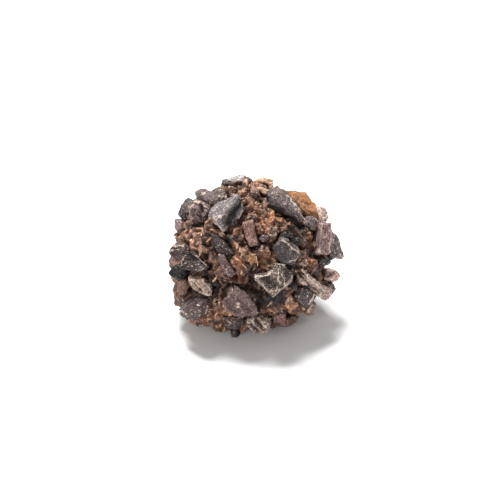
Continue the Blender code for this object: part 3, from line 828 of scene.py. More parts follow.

# %% [markdown]
# ## Folds, rims and specks of single nibs
#
# Some nibs are known by a single feature: a pale rim where the husk tore, the groove of a fold, a row of
# ribs. Each is a stroke across the front plane, in millimetres: from where to where, how wide to each side,
# how far it raises or sinks the nib's face, and how much paler or, below zero, darker it makes it. The dark
# strokes in grooves and hollows and on sides turned from the light are painted shade. A stroke of no length
# is a speck. Painting an image for each nib would show the same, but strokes can be read and changed one by
# one.

# %% Strokes on the upper nibs
STROKES = {
    # The split block: the ridge between its faces and its far side, both painted shade, torn rim, pale broken
    # end.
    "split": (
        (-1.8, 9.0, -3.9, 5.8, 0.14, -0.18, -0.5),
        (-1.6, 8.4, -3.4, 5.3, 0.80, -0.10, -1.15),
        (-2.1, 8.0, -3.9, 5.2, 0.60, -0.05, -1.15),
        (-1.6, 8.0, -3.3, 5.7, 0.12, 0.08, 0.62),
        (-1.9, 7.1, -3.7, 4.9, 0.12, 0.08, 0.62),
        (-0.9, 7.6, -1.7, 6.2, 0.20, 0.12, 0.78),
        (-1.7, 6.2, -3.0, 5.1, 0.22, 0.12, 0.85),
        (-3.0, 5.1, -4.4, 3.9, 0.22, 0.10, 0.85),
        (-5.9, 6.1, -5.3, 5.1, 0.20, 0.05, 0.70),
        (-5.3, 5.1, -4.5, 4.1, 0.22, 0.05, 0.80),
        (-5.0, 6.2, -4.6, 6.2, 0.40, 0.12, 1.0),
        (-4.3, 7.5, -4.3, 7.5, 0.22, 0.05, 1.0),
        (-2.9, 8.3, -2.9, 8.3, 0.20, 0.05, 0.9),
        (-1.5, 9.3, -1.7, 9.4, 0.22, 0.00, 1.0),
    ),
    # The cupped nib: its curled rim and the fold inside it, painted dark as shade.
    "cupped": (
        (-10.0, 6.0, -9.7, 7.6, 0.32, 0.28, 0.58),
        (-9.7, 7.6, -8.8, 8.6, 0.32, 0.34, 0.72),
        (-8.8, 8.6, -7.9, 8.5, 0.32, 0.34, 0.85),
        (-7.9, 8.5, -7.2, 7.7, 0.28, 0.28, 0.62),
        (-9.3, 6.4, -9.0, 7.5, 0.20, -0.25, -0.6),
        (-8.1, 8.0, -7.9, 7.3, 0.26, -0.40, -1.0),
        (-7.9, 7.3, -8.4, 6.5, 0.22, -0.35, -1.0),
        (-8.4, 6.5, -7.9, 5.8, 0.26, -0.40, -1.0),
        (-8.7, 7.5, -8.8, 6.8, 0.30, 0.22, 0.35),
    ),
    # The saddle: the dip between its two lobes, and husk specks.
    "saddle": (
        (-5.9, 10.8, -6.3, 9.6, 0.55, -0.45, 0.0),
        (-7.8, 10.0, -7.4, 10.2, 0.20, 0.06, 1.0),
        (-4.9, 10.7, -4.9, 10.7, 0.20, 0.05, 0.9),
        (-5.1, 9.6, -4.6, 9.4, 0.35, 0.10, 0.8),
        (-4.0, 9.9, -4.1, 9.2, 0.20, 0.05, 0.8),
    ),
    # The banded nib at the left.
    "left_band": (
        (-13.0, 0.8, -11.3, 0.9, 0.16, 0.12, 0.63),
        (-12.8, 1.4, -10.8, 1.6, 0.28, 0.10, 0.60),
        (-12.9, 1.1, -11.2, 1.2, 0.12, -0.20, 0.00),
        (-12.6, 0.1, -10.4, 0.2, 0.40, 0.00, -0.50),
    ),
    # The long bean: its torn edge, a shallow groove along it, husk specks, and its lower side painted shade.
    "long_bean": (
        (6.0, 9.8, 8.6, 6.9, 0.20, 0.08, 0.8),
        (8.6, 6.9, 9.0, 6.0, 0.24, 0.05, 0.9),
        (2.9, 10.8, 4.0, 11.0, 0.16, 0.05, 0.5),
        (3.0, 9.2, 7.2, 6.0, 0.70, 0.00, -0.5),
        (7.0, 8.0, 8.6, 6.3, 0.55, 0.00, 0.38),
        (4.4, 9.9, 7.0, 7.2, 0.30, -0.18, 0.0),
        (3.6, 10.1, 3.6, 10.1, 0.20, 0.03, 0.9),
        (3.4, 9.3, 3.8, 9.2, 0.20, 0.03, 0.9),
        (6.4, 8.3, 6.4, 8.3, 0.18, 0.03, 0.9),
        (7.0, 7.2, 7.0, 7.2, 0.16, 0.03, 0.7),
    ),
    # The big nut: the seam of its halves, painted dark as shade, and the lighter face of its broken side.
    "big_nut": (
        (5.8, 10.3, 8.4, 9.6, 0.30, 0.05, 0.22),
        (8.4, 9.6, 10.9, 7.8, 0.30, 0.05, 0.28),
        (6.0, 9.5, 8.0, 8.3, 0.45, -0.20, -0.6),
        (8.0, 9.1, 9.9, 8.3, 0.20, -0.12, -0.5),
        (8.3, 8.9, 8.5, 7.7, 0.18, 0.18, 0.60),
        (8.5, 7.7, 9.8, 6.7, 0.18, 0.18, 0.60),
        (9.1, 8.2, 10.0, 7.4, 0.60, 0.00, 0.26),
    ),
    # The plank: a husk rim down both sides and across its foot.
    "plank": (
        (11.8, 5.0, 11.5, 2.2, 0.17, 0.14, 0.70),
        (11.5, 2.2, 11.1, 0.3, 0.17, 0.14, 0.75),
        (11.0, 0.3, 12.6, 0.1, 0.16, 0.10, 0.70),
        (13.3, 4.2, 13.2, 2.4, 0.18, 0.14, 0.70),
        (13.2, 2.4, 12.9, 0.2, 0.18, 0.14, 0.85),
        (11.4, 4.0, 11.2, 1.6, 0.20, 0.00, -0.4),
    ),
    "right_corner": (
        (15.1, 0.2, 15.3, -0.4, 0.28, 0.05, 0.8),
        (13.8, 2.0, 13.9, 1.9, 0.18, 0.05, 1.0),
        (14.5, 1.1, 14.5, 1.1, 0.20, 0.05, 1.0),
        (14.2, 0.3, 14.3, 0.3, 0.20, 0.05, 1.0),
        (13.7, 0.9, 13.7, 0.8, 0.16, 0.05, 1.0),
    ),
}
print("nibs with strokes so far:", len(STROKES))

# %% Strokes on the lower nibs
STROKES.update({
    # The black block: a lighter side, its torn end, and its other side painted dark as shade.
    "black_block": (
        (5.2, 2.5, 7.9, 0.4, 0.20, 0.12, 0.8),
        (6.3, -1.1, 7.6, -0.8, 0.20, 0.12, 0.9),
        (7.9, 0.4, 7.3, -0.9, 0.18, 0.08, 0.5),
        (4.3, 1.1, 5.3, -0.4, 0.70, 0.00, -0.5),
    ),
    # The big lump: husk all round its rim, ribs across it, and hollows between them painted dark as shade.
    "big_lump": (
        (0.8, -3.4, 2.8, -3.3, 0.26, 0.15, 0.9),
        (2.8, -3.3, 3.6, -2.6, 0.22, 0.15, 0.9),
        (4.3, -1.4, 5.3, -1.5, 0.24, 0.10, 0.8),
        (5.3, -1.5, 6.8, -3.4, 0.24, 0.15, 0.8),
        (6.8, -3.8, 5.4, -5.1, 0.22, 0.15, 0.8),
        (5.2, -5.4, 3.2, -5.9, 0.22, 0.08, 0.7),
        (2.9, -5.7, 1.5, -4.3, 0.20, 0.12, 0.7),
        (4.5, -2.9, 4.7, -4.6, 0.24, 0.20, 0.8),
        (5.2, -3.2, 5.6, -4.6, 0.18, 0.15, 0.8),
        (3.9, -4.9, 4.6, -5.6, 0.20, 0.10, 0.7),
        (2.2, -4.0, 3.4, -4.3, 0.50, -0.15, -0.7),
        (5.6, -2.3, 6.2, -3.0, 0.40, -0.10, -0.6),
        (3.4, -5.2, 4.2, -4.8, 0.35, -0.10, -0.5),
    ),
    # The dished nib: its lip all round, and the groove inside the lip and its hollow, painted dark as shade.
    "dished": (
        (-11.1, -1.5, -10.9, -0.6, 0.18, 0.10, 0.66),
        (-10.9, -0.6, -9.9, 0.6, 0.18, 0.15, 0.66),
        (-9.9, 0.6, -8.6, -0.2, 0.17, 0.18, 0.66),
        (-8.6, -0.2, -6.8, -2.0, 0.17, 0.18, 0.66),
        (-9.0, -0.3, -7.4, -1.8, 0.15, -0.25, -0.80),
        (-9.4, 0.3, -8.6, -0.8, 0.17, 0.12, 0.66),
        (-8.6, -0.8, -7.2, -2.0, 0.19, 0.12, 0.66),
        (-7.2, -2.2, -8.4, -2.6, 0.17, 0.08, 0.66),
        (-9.8, 0.0, -9.4, -0.7, 0.55, -0.20, -0.90),
        (-10.5, -1.3, -10.5, -1.3, 0.13, 0.05, 0.90),
        (-9.4, -1.8, -9.4, -1.8, 0.13, 0.05, 0.80),
    ),
    # The husked lens: a slit along it and thin folds.
    "husked_lens": (
        (-9.8, -3.2, -9.3, -4.3, 0.18, 0.15, 0.9),
        (-9.4, -4.3, -7.9, -5.9, 0.12, -0.45, 0.0),
        (-9.2, -4.0, -7.5, -5.7, 0.16, 0.15, 0.9),
        (-8.0, -3.6, -6.4, -5.6, 0.18, 0.12, 0.7),
        (-7.6, -6.3, -6.3, -6.5, 0.20, 0.12, 0.8),
    ),
    # The flat one at the lower left: specks and a torn edge.
    "flat_plum": (
        (-8.4, -8.1, -8.4, -8.1, 0.17, 0.05, 1.0),
        (-8.4, -9.0, -8.4, -9.0, 0.17, 0.05, 1.0),
        (-9.6, -8.9, -9.6, -8.9, 0.16, 0.05, 0.9),
        (-9.5, -9.6, -9.3, -9.7, 0.17, 0.05, 0.9),
        (-8.9, -9.3, -8.9, -9.3, 0.13, 0.05, 0.8),
        (-6.9, -8.3, -7.2, -9.6, 0.22, 0.08, 0.8),
        (-11.4, -8.9, -10.3, -9.8, 0.20, 0.06, 0.8),
    ),
    # The kite: its three faces' edges, torn rim and a smear of nut, and side faces and creases painted shade.
    "kite": (
        (-2.9, -5.0, -3.1, -6.3, 0.20, 0.08, 0.50),
        (-3.1, -6.3, -4.7, -7.7, 0.20, 0.08, 0.56),
        (-4.7, -7.8, -3.9, -8.8, 0.22, 0.08, 0.62),
        (-3.9, -8.8, -1.6, -9.5, 0.22, 0.08, 0.56),
        (-2.4, -5.0, -0.4, -6.4, 0.20, 0.10, 0.56),
        (-0.4, -6.4, 0.9, -8.4, 0.20, 0.10, 0.56),
        (-2.4, -7.8, -1.7, -7.9, 0.30, 0.12, 1.00),
        (-2.2, -8.5, -1.8, -8.3, 0.26, 0.12, 1.00),
        (-1.6, -8.5, -1.2, -9.3, 0.22, 0.12, 0.62),
        (-0.9, -7.7, -0.9, -7.7, 0.15, 0.05, 1.00),
        (-2.7, -8.5, -2.7, -8.5, 0.14, 0.05, 1.00),
        (-3.0, -6.4, -2.4, -8.2, 0.14, -0.22, -0.30),
        (-3.7, -7.6, -3.1, -8.4, 0.55, -0.12, -0.50),
        (-2.8, -9.0, -1.8, -9.2, 0.35, -0.05, -0.60),
        (-1.3, -7.3, 0.4, -8.8, 0.16, 0.12, 0.30),
        (-0.9, -8.2, -0.2, -8.9, 0.50, -0.12, -0.50),
    ),
    # The crumpled one: its folds, with the creases between them painted dark as shade.
    "crumpled": (
        (-0.2, -11.6, 0.3, -10.5, 0.22, 0.20, 0.75),
        (0.3, -10.5, 1.6, -10.2, 0.22, 0.20, 0.75),
        (1.6, -10.2, 2.2, -11.4, 0.20, 0.25, 0.68),
        (2.2, -11.4, 3.2, -12.0, 0.20, 0.25, 0.75),
        (0.6, -11.1, 1.9, -12.3, 0.20, 0.25, 0.68),
        (0.2, -12.0, 1.4, -12.7, 0.20, 0.20, 0.68),
        (0.9, -10.7, 2.0, -11.8, 0.22, -0.40, -1.00),
        (0.1, -11.4, 1.2, -12.4, 0.22, -0.30, -0.90),
    ),
    # The ribbed one: ribs along it, with the furrows between them painted dark as shade.
    "ribbed": (
        (7.5, -3.2, 9.0, -5.1, 0.18, 0.22, 1.0),
        (9.0, -5.1, 10.7, -6.4, 0.20, 0.25, 1.0),
        (8.4, -2.5, 10.3, -4.5, 0.18, 0.22, 1.0),
        (10.3, -4.5, 12.2, -5.9, 0.20, 0.25, 1.0),
        (7.9, -2.8, 9.6, -4.7, 0.13, -0.35, -1.0),
        (9.6, -4.7, 11.4, -6.2, 0.14, -0.35, -1.0),
        (9.0, -3.9, 10.6, -5.5, 0.14, 0.15, 0.9),
        (10.9, -5.9, 12.0, -6.8, 0.18, 0.15, 1.0),
    ),
    # The ear: pale folds, and a groove painted dark as shade.
    "ear": (
        (12.4, -3.9, 12.9, -2.7, 0.18, 0.18, 1.0),
        (12.9, -2.7, 14.1, -2.6, 0.18, 0.18, 0.9),
        (13.0, -4.1, 14.3, -3.2, 0.18, 0.20, 0.9),
        (12.8, -3.7, 14.0, -2.9, 0.18, -0.30, -1.0),
    ),
    # The ear's link: pale folds, and a groove painted dark as shade.
    "ear_link": (
        (12.3, -5.0, 13.0, -4.5, 0.18, 0.12, 0.8),
        (12.3, -5.9, 13.2, -5.7, 0.20, 0.15, 1.0),
        (12.3, -6.6, 13.1, -6.5, 0.20, 0.15, 1.0),
        (12.2, -5.4, 12.9, -5.2, 0.16, -0.20, -0.9),
    ),
    # The right block: its torn edges.
    "right_block": (
        (9.4, -5.1, 10.7, -6.3, 0.24, 0.12, 0.9),
        (10.7, -6.3, 9.7, -8.0, 0.24, 0.12, 1.0),
        (9.8, -6.0, 9.2, -6.9, 0.14, 0.08, 0.7),
    ),
    "right_sliver": (
        (10.3, -7.9, 9.6, -9.6, 0.22, 0.10, 1.0),
    ),
    "under_kite": (
        (-4.2, -10.3, -3.0, -11.3, 0.18, 0.05, 0.7),
    ),
})
print("strokes in all:", sum(len(rows) for rows in STROKES.values()))

# %% [markdown]
# ## A skin for each chip
#
# A chip is only planes and corners. A voxel remesh gives it an even skin of small squares, which keeps the
# chip's form and is fine enough to be wrinkled. Subdividing wouldn't: its long faces would become long,
# thin ones. One round of blurring takes the sharpness off the corners, and what stands proud of its
# neighbours before it is an edge, where the real nib is rubbed pale.

# %% Remesh a chip and find its edges
VOXEL = 0.125
FLATTEST_EDGE, SHARPEST_EDGE = 90, 99.5


def fine_skin(bm):
    """The chip that bm holds, with a voxel-remeshed skin, as a mesh."""
    mesh = bpy.data.meshes.new("chip")
    bm.to_mesh(mesh)
    bm.free()
    rough = bpy.data.objects.new("chip", mesh)
    bpy.context.scene.collection.objects.link(rough)
    remesh = rough.modifiers.new("Skin", "REMESH")
    remesh.mode = "VOXEL"
    remesh.voxel_size = VOXEL
    graph = bpy.context.evaluated_depsgraph_get()
    fine = bpy.data.meshes.new_from_object(rough.evaluated_get(graph))
    bpy.data.objects.remove(rough)
    bpy.data.meshes.remove(mesh)
    return fine


def pairs_of(mesh):
    """Each edge's two points, both ways round."""
    found = np.empty(len(mesh.edges) * 2, dtype=np.int32)
    mesh.edges.foreach_get("vertices", found)
    pairs = found.reshape(-1, 2)
    return np.concatenate((pairs, pairs[:, ::-1]))


def blurred(values, pairs):
    """What each point has, averaged over the points next to it."""
    count = np.bincount(pairs[:, 0], minlength=len(values))
    columns = [np.bincount(pairs[:, 0], column[pairs[:, 1]], len(values)) / count for column in values.T]
    return np.array(columns).T


def rubbed(points, pairs, normals):
    """How sharp an edge each point is on, from 0 to 1: how far it stands proud of its neighbours."""
    proud = np.einsum("ij,ij->i", points - blurred(points, pairs), normals)
    proud = blurred(proud[:, None], pairs)[:, 0]
    flat, sharp = np.percentile(proud, (FLATTEST_EDGE, SHARPEST_EDGE))
    return np.clip((proud - flat) / (sharp - flat), 0, 1)


sample = fine_skin(chip(KINDS["split_block"], 6, 4.5, 2.4))
print("faces of a split block's skin:", len(sample.polygons))
bpy.data.meshes.remove(sample)

# %% [markdown]
# ## Wrinkles, breaks and husk
#
# A bean dries into long wrinkles, so the noise that pushes the skin in and out is stretched along the nib.
# Where the bean broke, its face is rough, and the paste's crumbs, made larger, serve for that. Husk that
# still clings lies in thin raised folds: ridged noise gives their lines, and the finish says how many show.

# %% Wrinkle a nib
Wrinkle = namedtuple("Wrinkle", "along across height")
WRINKLES = (Wrinkle(1.5, 0.45, 0.12), Wrinkle(0.6, 0.24, 0.08), Wrinkle(1.5, 1.3, 0.20))
WRINKLE_SHIFT = (17.3, 5.1, 0)
BREAKS = Crumbs(1.5 * MM, 0.34 * MM, 0.10 * MM, 0.06 * MM, 0.4 * MM)
FOLD_WIDTH = 0.75
FOLD_SQUASH = 1.8
FOLD_SHARPNESS = 0.11
FOLD_HEIGHT = 0.20


def wrinkled(points, number, finish):
    """How far each point is pushed in or out, in millimetres, and how much it is on a fold of husk."""
    offset = Vector(WRINKLE_SHIFT) * number
    heights = []
    folds = []
    for x, y, z in points:
        height = finish.breaks * crumb_at((Vector((x, y, z)) + offset) * MM, BREAKS)[0] / MM
        for wrinkle in WRINKLES:
            spot = Vector((x / wrinkle.along, y / wrinkle.across, z / wrinkle.across))
            height += wrinkle.height * noise.noise(spot + offset)
        folded = noise.noise(Vector((x, FOLD_SQUASH * y, FOLD_SQUASH * z)) / FOLD_WIDTH - offset)
        fold = max(0, 1 - abs(folded) / FOLD_SHARPNESS) * finish.husk
        heights.append(height + FOLD_HEIGHT * fold)
        folds.append(fold)
    return np.array(heights), np.array(folds)


along = np.array([(x, 0, 1) for x in np.linspace(-3, 3, 25)])
pushed, _ = wrinkled(along, 3, FINISHES["husked"])
print("wrinkles along a husked nib, mm:", round(float(pushed.min()), 2), "to", round(float(pushed.max()), 2))

# %% [markdown]
# ## Laying the strokes on a nib
#
# A stroke works on every point near its line, less and less with distance, on the nib's upper side only.
# Straight strokes would look drawn with a ruler, so each point is looked up a little beside where it is,
# which frays them.

# %% Lay strokes on a nib, and stain and shade its foot
Stroke = namedtuple("Stroke", "right up to_right to_up half_width height pale")
PALE_STROKE_WIDTH = 0.7
FRAY = 0.22
FRAY_WIDTH = 0.55 * MM
# Paste stain, made dark enough to be also the painted contact shade where the nib meets the paste.
STAIN_AND_CONTACT_SHADE = linear(58, 40, 33)
STAIN_AND_SHADE_HEIGHT = 0.30 * MM
STAIN_AND_SHADE_PATCHES = 0.35
STAIN_AND_SHADE_PATCH_WIDTH = 0.8 * MM


def near_stroke(right, up, stroke):
    """How much each point is under a stroke, from 0 to 1."""
    start = np.array((stroke.right, stroke.up))
    run = np.array((stroke.to_right, stroke.to_up)) - start
    away = np.column_stack((right, up)) - start
    share = np.clip(away @ run / max(1e-6, run @ run), 0, 1)
    distance = np.linalg.norm(away - share[:, None] * run, axis=1)
    width = stroke.half_width * (PALE_STROKE_WIDTH if stroke.pale > 0 and run.any() else 1)
    return np.exp(-((distance / width) ** 2))


def stroked(nib, outward, points, pale, upper):
    """The nib's points, how pale they are, and how much shade is painted on them, after all its strokes."""
    dark = np.zeros(len(points))
    if nib.name not in STROKES:
        return points, pale, dark
    from_middle = points - np.array(BALL_MIDDLE)
    frayed = np.array([noise.noise_vector(Vector(point) / FRAY_WIDTH) for point in points])
    right = from_middle @ np.array(RIGHT) / MM + FRAY * frayed[:, 0]
    up = from_middle @ np.array(UP) / MM + FRAY * frayed[:, 1]
    for row in STROKES[nib.name]:
        stroke = Stroke(*row)
        under = near_stroke(right, up, stroke) * upper
        points = points + (under * stroke.height * MM)[:, None] * np.array(outward)
        pale = np.maximum(pale * (1 - under * (stroke.pale <= 0)), under * stroke.pale)
        dark = np.maximum(dark, -under * stroke.pale)
    return points, pale, dark


def stained_and_shaded(points, colour):
    """The nib's colour at each point, turned to dark paste low down: clinging paste and painted contact
    shade.
    """
    found = []
    for point in points:
        from_middle = Vector(point) - BALL_MIDDLE
        above = from_middle.length - paste_reach(from_middle.normalized())
        patchy = STAIN_AND_SHADE_PATCHES * noise.noise(Vector(point) / STAIN_AND_SHADE_PATCH_WIDTH)
        share = min(1, max(0, 1 - above / STAIN_AND_SHADE_HEIGHT + patchy))
        found.append([c + share * (s - c) for c, s in zip(colour, STAIN_AND_CONTACT_SHADE)])
    return np.array(found)


print("the stain:", [round(channel, 3) for channel in STAIN_AND_CONTACT_SHADE])

# %% [markdown]
# ## A finished nib
#
# Now a nib can be made from its row: chip, skin, taper, wrinkles, its place in the paste, strokes and stain,
# the dark paste low on it, which also paints its contact shade. Each point keeps three things for the
# material: its colour, with painted shade in it, how pale it is, below zero where a stroke paints shade, and
# its place along the nib before the nib was turned, so that the grain runs with the bean. Every nib is
# shifted along the noise by its own number, so that no two are alike.

# %% Make one nib
SWELL = 0.06
TAPERS = {"teardrop": 0.4, "lens": 0.2}
GRAIN_SHIFT = (11.7, 3.9, 0)
UPPER_SLOPE, UPPER_START = 3, 1.6
DARK_STROKE_SHADE = 0.85


def nib_mesh(nib, place, number):
    """A finished nib in place, with its colour and painted shade, and how pale its edges, folds and marks
    are.
    """
    finish = FINISHES[nib.finish]
    mesh = fine_skin(chip(KINDS[nib.kind], nib.length, nib.width, nib.thickness))
    points = points_of(mesh)
    pairs = pairs_of(mesh)
    edge = rubbed(points, pairs, normals_of(mesh))
    points = blurred(points, pairs)
    move(mesh, points)
    towards_tip = 0.5 + points[:, 0] / nib.length
    points[:, 2] *= 1 - TAPERS.get(nib.kind, 0) * towards_tip
    pushed, folds = wrinkled(points, number, finish)
    points += (pushed + SWELL)[:, None] * normals_of(mesh)
    store(mesh, "along_nib", points + np.array(GRAIN_SHIFT) * number)
    upper = np.clip(UPPER_SLOPE * points[:, 2] / nib.thickness + UPPER_START, 0, 1)
    columns = np.array((place.x_axis, place.y_axis, place.outward))
    points = points @ columns * MM + np.array(place.middle)
    pale = np.maximum(edge * finish.rim, folds)
    points, pale, dark = stroked(nib, place.outward, points, pale, upper)
    points[:, 2] = np.maximum(points[:, 2], FLOOR_GAP)
    move(mesh, points)
    store(mesh, "pale", pale - dark)
    # Painted shade: dark strokes darken the colour here, and go below zero in pale.
    shaded = (1 - DARK_STROKE_SHADE * dark)[:, None]
    store(mesh, "colour", stained_and_shaded(points, finish.colour) * nib.light * shaded)
    return mesh


print("kinds that taper:", ", ".join(TAPERS))

# %% Make the nibs, and join those that share a finish
def joined(name, meshes):
    """One piece made of several meshes."""
    parts = []
    for mesh in meshes:
        part = bpy.data.objects.new(name, mesh)
        root.objects.link(part)
        parts.append(part)
    with bpy.context.temp_override(active_object=parts[0], selected_editable_objects=parts):
        bpy.ops.object.join()
    parts[0].data.shade_smooth()
    return parts[0]


meshes_of_piece = {finish.piece: [] for finish in FINISHES.values()}
for number, (nib, place) in enumerate(nibs_and_places):
    meshes_of_piece[FINISHES[nib.finish].piece].append(nib_mesh(nib, place, number))
nib_pieces = {name: joined(name, meshes) for name, meshes in meshes_of_piece.items()}
for name, piece in nib_pieces.items():
    print(name, "faces:", len(piece.data.polygons))

# %% [markdown]
# ## Shards
#
# Rolling leaves loose bits stuck to the paste: crumbs of nut, slivers of date and splinters of bean. A
# chopped bit is an angular shard, so a few are made from the coarsest ball there is, knocked about at
# random. They are shared by many hundreds of bits, so each has only twenty faces.

# %% Knock a few shards into shape
SHARD_SHAPES = 8
SHARD_ROUGHNESS = 0.32
draw = random.Random(23)


def shard_shape():
    """One angular shard, about a unit across."""
    bm = bmesh.new()
    bmesh.ops.create_icosphere(bm, subdivisions=1, radius=0.5)
    for vertex in bm.verts:
        vertex.co *= 1 + draw.uniform(-SHARD_ROUGHNESS, SHARD_ROUGHNESS)
    mesh = bpy.data.meshes.new("shard")
    bm.to_mesh(mesh)
    bm.free()
    return mesh


shard_shapes = [shard_shape() for _ in range(SHARD_SHAPES)]
print("shards:", len(shard_shapes), "of", len(shard_shapes[0].polygons), "faces")

# %% [markdown]
# ## Where bits lie on the paste
#
# Shards and flakes are strewn by the same few draws: a direction from all round the ball, the place of the
# paste there, a frame that lies on it with some tilt, and a lightness that follows the patch of paste below,
# painted shade included. Drawing three bell-shaped numbers gives directions that crowd nowhere. Bits keep
# out of the moats, where a nib lies.

# %% Draw a place, a frame and a lightness
CLEAR_OF_NIBS = 0.4 * MOAT_DEPTH
TONE_AND_SHADE_ON_BITS = 0.8
DARKEST_BIT = 0.1


def drawn_direction():
    """A direction drawn evenly from all round."""
    return Vector([draw.gauss(0, 1) for _ in range(3)]).normalized()


def on_surface(direction, sink):
    """The point this far below the finished paste in a direction, and the depth of the moat there."""
    reach, _ = paste_at(direction)
    point = BALL_MIDDLE + direction * reach
    depth = moat_depth(np.array([point]))[0]
    return point - direction * (depth + sink), depth


def lying(point, direction, turn_range):
    """A frame at a point that lies on the paste, turned at random and tilted by up to this much."""
    tilted = (direction + turn_range * drawn_direction()).normalized()
    spin = Matrix.Rotation(draw.uniform(0, math.tau), 4, "Z")
    return Matrix.Translation(point) @ tilted.to_track_quat("Z", "Y").to_matrix().to_4x4() @ spin


def drawn_light(direction, lights):
    """How light a bit is: a draw between two values, times the paste's tone and painted shade on this side.
    """
    return draw.uniform(*lights) * max(DARKEST_BIT, 1 + TONE_AND_SHADE_ON_BITS * tone_and_shade_at(direction))


print("depth of the moat at the crown, mm:", round(on_surface(UP, 0)[1] / MM, 2))

# %% [markdown]
# ## Crumbs, bits of date and splinters
#
# Each kind of bit is one piece, since thousands of objects would be slow and can't be handled. The same
# shards serve for all kinds: what sets them apart is how flat and how long they are drawn out, and their
# shades. Small ones are far more common than large ones, so the size grows with the square of an even draw.

# %% Scatter the shards
FLAT_TILT = 0.45
SHARD_SINK = 0.45
SHARD_LIGHTS = (0.75, 1.15)
Scatter = namedtuple("Scatter", "name count smallest largest flatness stretch colours")
SCATTERS = (
    Scatter("nut_crumbs", 450, 0.25, 0.70, (0.25, 0.6), (1.0, 1.6),
            (linear(190, 148, 120), linear(168, 128, 103), linear(208, 176, 150), linear(146, 111, 90))),
    Scatter("date_bits", 900, 0.30, 0.85, (0.20, 0.45), (1.0, 2.2),
            (linear(132, 96, 80), linear(152, 114, 94), linear(112, 81, 67), linear(170, 131, 107))),
    Scatter("cacao_splinters", 420, 0.30, 1.00, (0.25, 0.5), (1.0, 2.4),
            (linear(84, 66, 60), linear(60, 50, 48), linear(120, 98, 88), linear(146, 124, 112))),
)


def scattered(scatter, shapes):
    """The crumbs of one kind, as one piece."""
    bm = bmesh.new()
    colours = []
    for _ in range(scatter.count):
        direction = drawn_direction()
        size = (scatter.smallest + (scatter.largest - scatter.smallest) * draw.random() ** 2) * MM
        flat = draw.uniform(*scatter.flatness)
        long = draw.uniform(*scatter.stretch)
        colour = draw.choice(scatter.colours)
        light = drawn_light(direction, SHARD_LIGHTS)
        point, depth = on_surface(direction, SHARD_SINK * size * flat)
        if depth > CLEAR_OF_NIBS:
            continue
        frame_there = lying(point, direction, FLAT_TILT)
        shard = draw.choice(shapes).copy()
        shard.transform(frame_there @ Matrix.Diagonal((size * long, size, size * flat, 1)))
        if min(vertex.co.z for vertex in shard.vertices) > 0:
            bm.from_mesh(shard)
            colours += [[light * channel for channel in colour]] * len(shard.vertices)
        bpy.data.meshes.remove(shard)
    piece = new_piece(scatter.name, bm)
    store(piece.data, "colour", colours)
    print(scatter.name, "faces:", len(piece.data.polygons))
    return piece


crumb_pieces = [scattered(scatter, shard_shapes) for scatter in SCATTERS]

# %% [markdown]
# ## Flakes of husk
#
# Bits of the bean's papery shell stick to the paste by one side and curl off it. Each is a thin sheet: a
# circle of seven corners, torn in and out, stretched, bent across, and given the thickness of paper, so
# that it is closed. Its edge is lighter than its middle, as the pale fibres of a torn edge are.

# %% Bend one flake
FLAKE_THICKNESS = 0.06 * MM
FLAKE_CORNERS = 7
TORN_CORNERS = (0.65, 1.15)
TWIST = 0.4
RIPPLE = 0.05
EDGE_LIGHT, MIDDLE_LIGHT = 1.10, 0.80


def flake_mesh(length, width, curl, frame_there):
    """One curled flake in its place."""
    bm = bmesh.new()
    bmesh.ops.create_circle(bm, cap_ends=True, cap_tris=True, segments=FLAKE_CORNERS, radius=0.5)
    light = bm.verts.layers.float.new("light")
    for vertex in bm.verts:
        torn = draw.uniform(*TORN_CORNERS) if vertex.is_boundary else 1
        x, y = vertex.co.x * torn, vertex.co.y * torn
        curled = curl * width * (y * y + TWIST * x * y) + draw.uniform(-RIPPLE, RIPPLE)
        vertex[light] = EDGE_LIGHT if vertex.is_boundary else MIDDLE_LIGHT
        vertex.co = Vector((x * length, y * width, curled)) * MM
    bmesh.ops.solidify(bm, geom=bm.faces, thickness=FLAKE_THICKNESS)
    bmesh.ops.recalc_face_normals(bm, faces=bm.faces)
    mesh = bpy.data.meshes.new("flake")
    bm.to_mesh(mesh)
    bm.free()
    mesh.transform(frame_there)
    return mesh


flakes_bm = bmesh.new()
flake_colours = []


def add_flake(length, width, curl, frame_there, colour):
    """Adds a flake to the others, unless it would reach through the floor."""
    mesh = flake_mesh(length, width, curl, frame_there)
    if min(vertex.co.z for vertex in mesh.vertices) > 0:
        flakes_bm.from_mesh(mesh)
        flake_colours.extend([[light.value * c for c in colour] for light in mesh.attributes["light"].data])
    bpy.data.meshes.remove(mesh)


print("corners of a flake:", FLAKE_CORNERS)

# %% [markdown]
# ## Placing the flakes
#
# A few flakes are seen one by one: the torn one in the middle of the side shown, with its pale edges, and
# thin shreds at the left and below. They have a row each, as the nibs do: place, turn, length, width, curl,
# tilt and colour. The others are strewn all round, many of them on edge, where they catch the light. Few
# are long, so the length grows with a high power of an even draw.

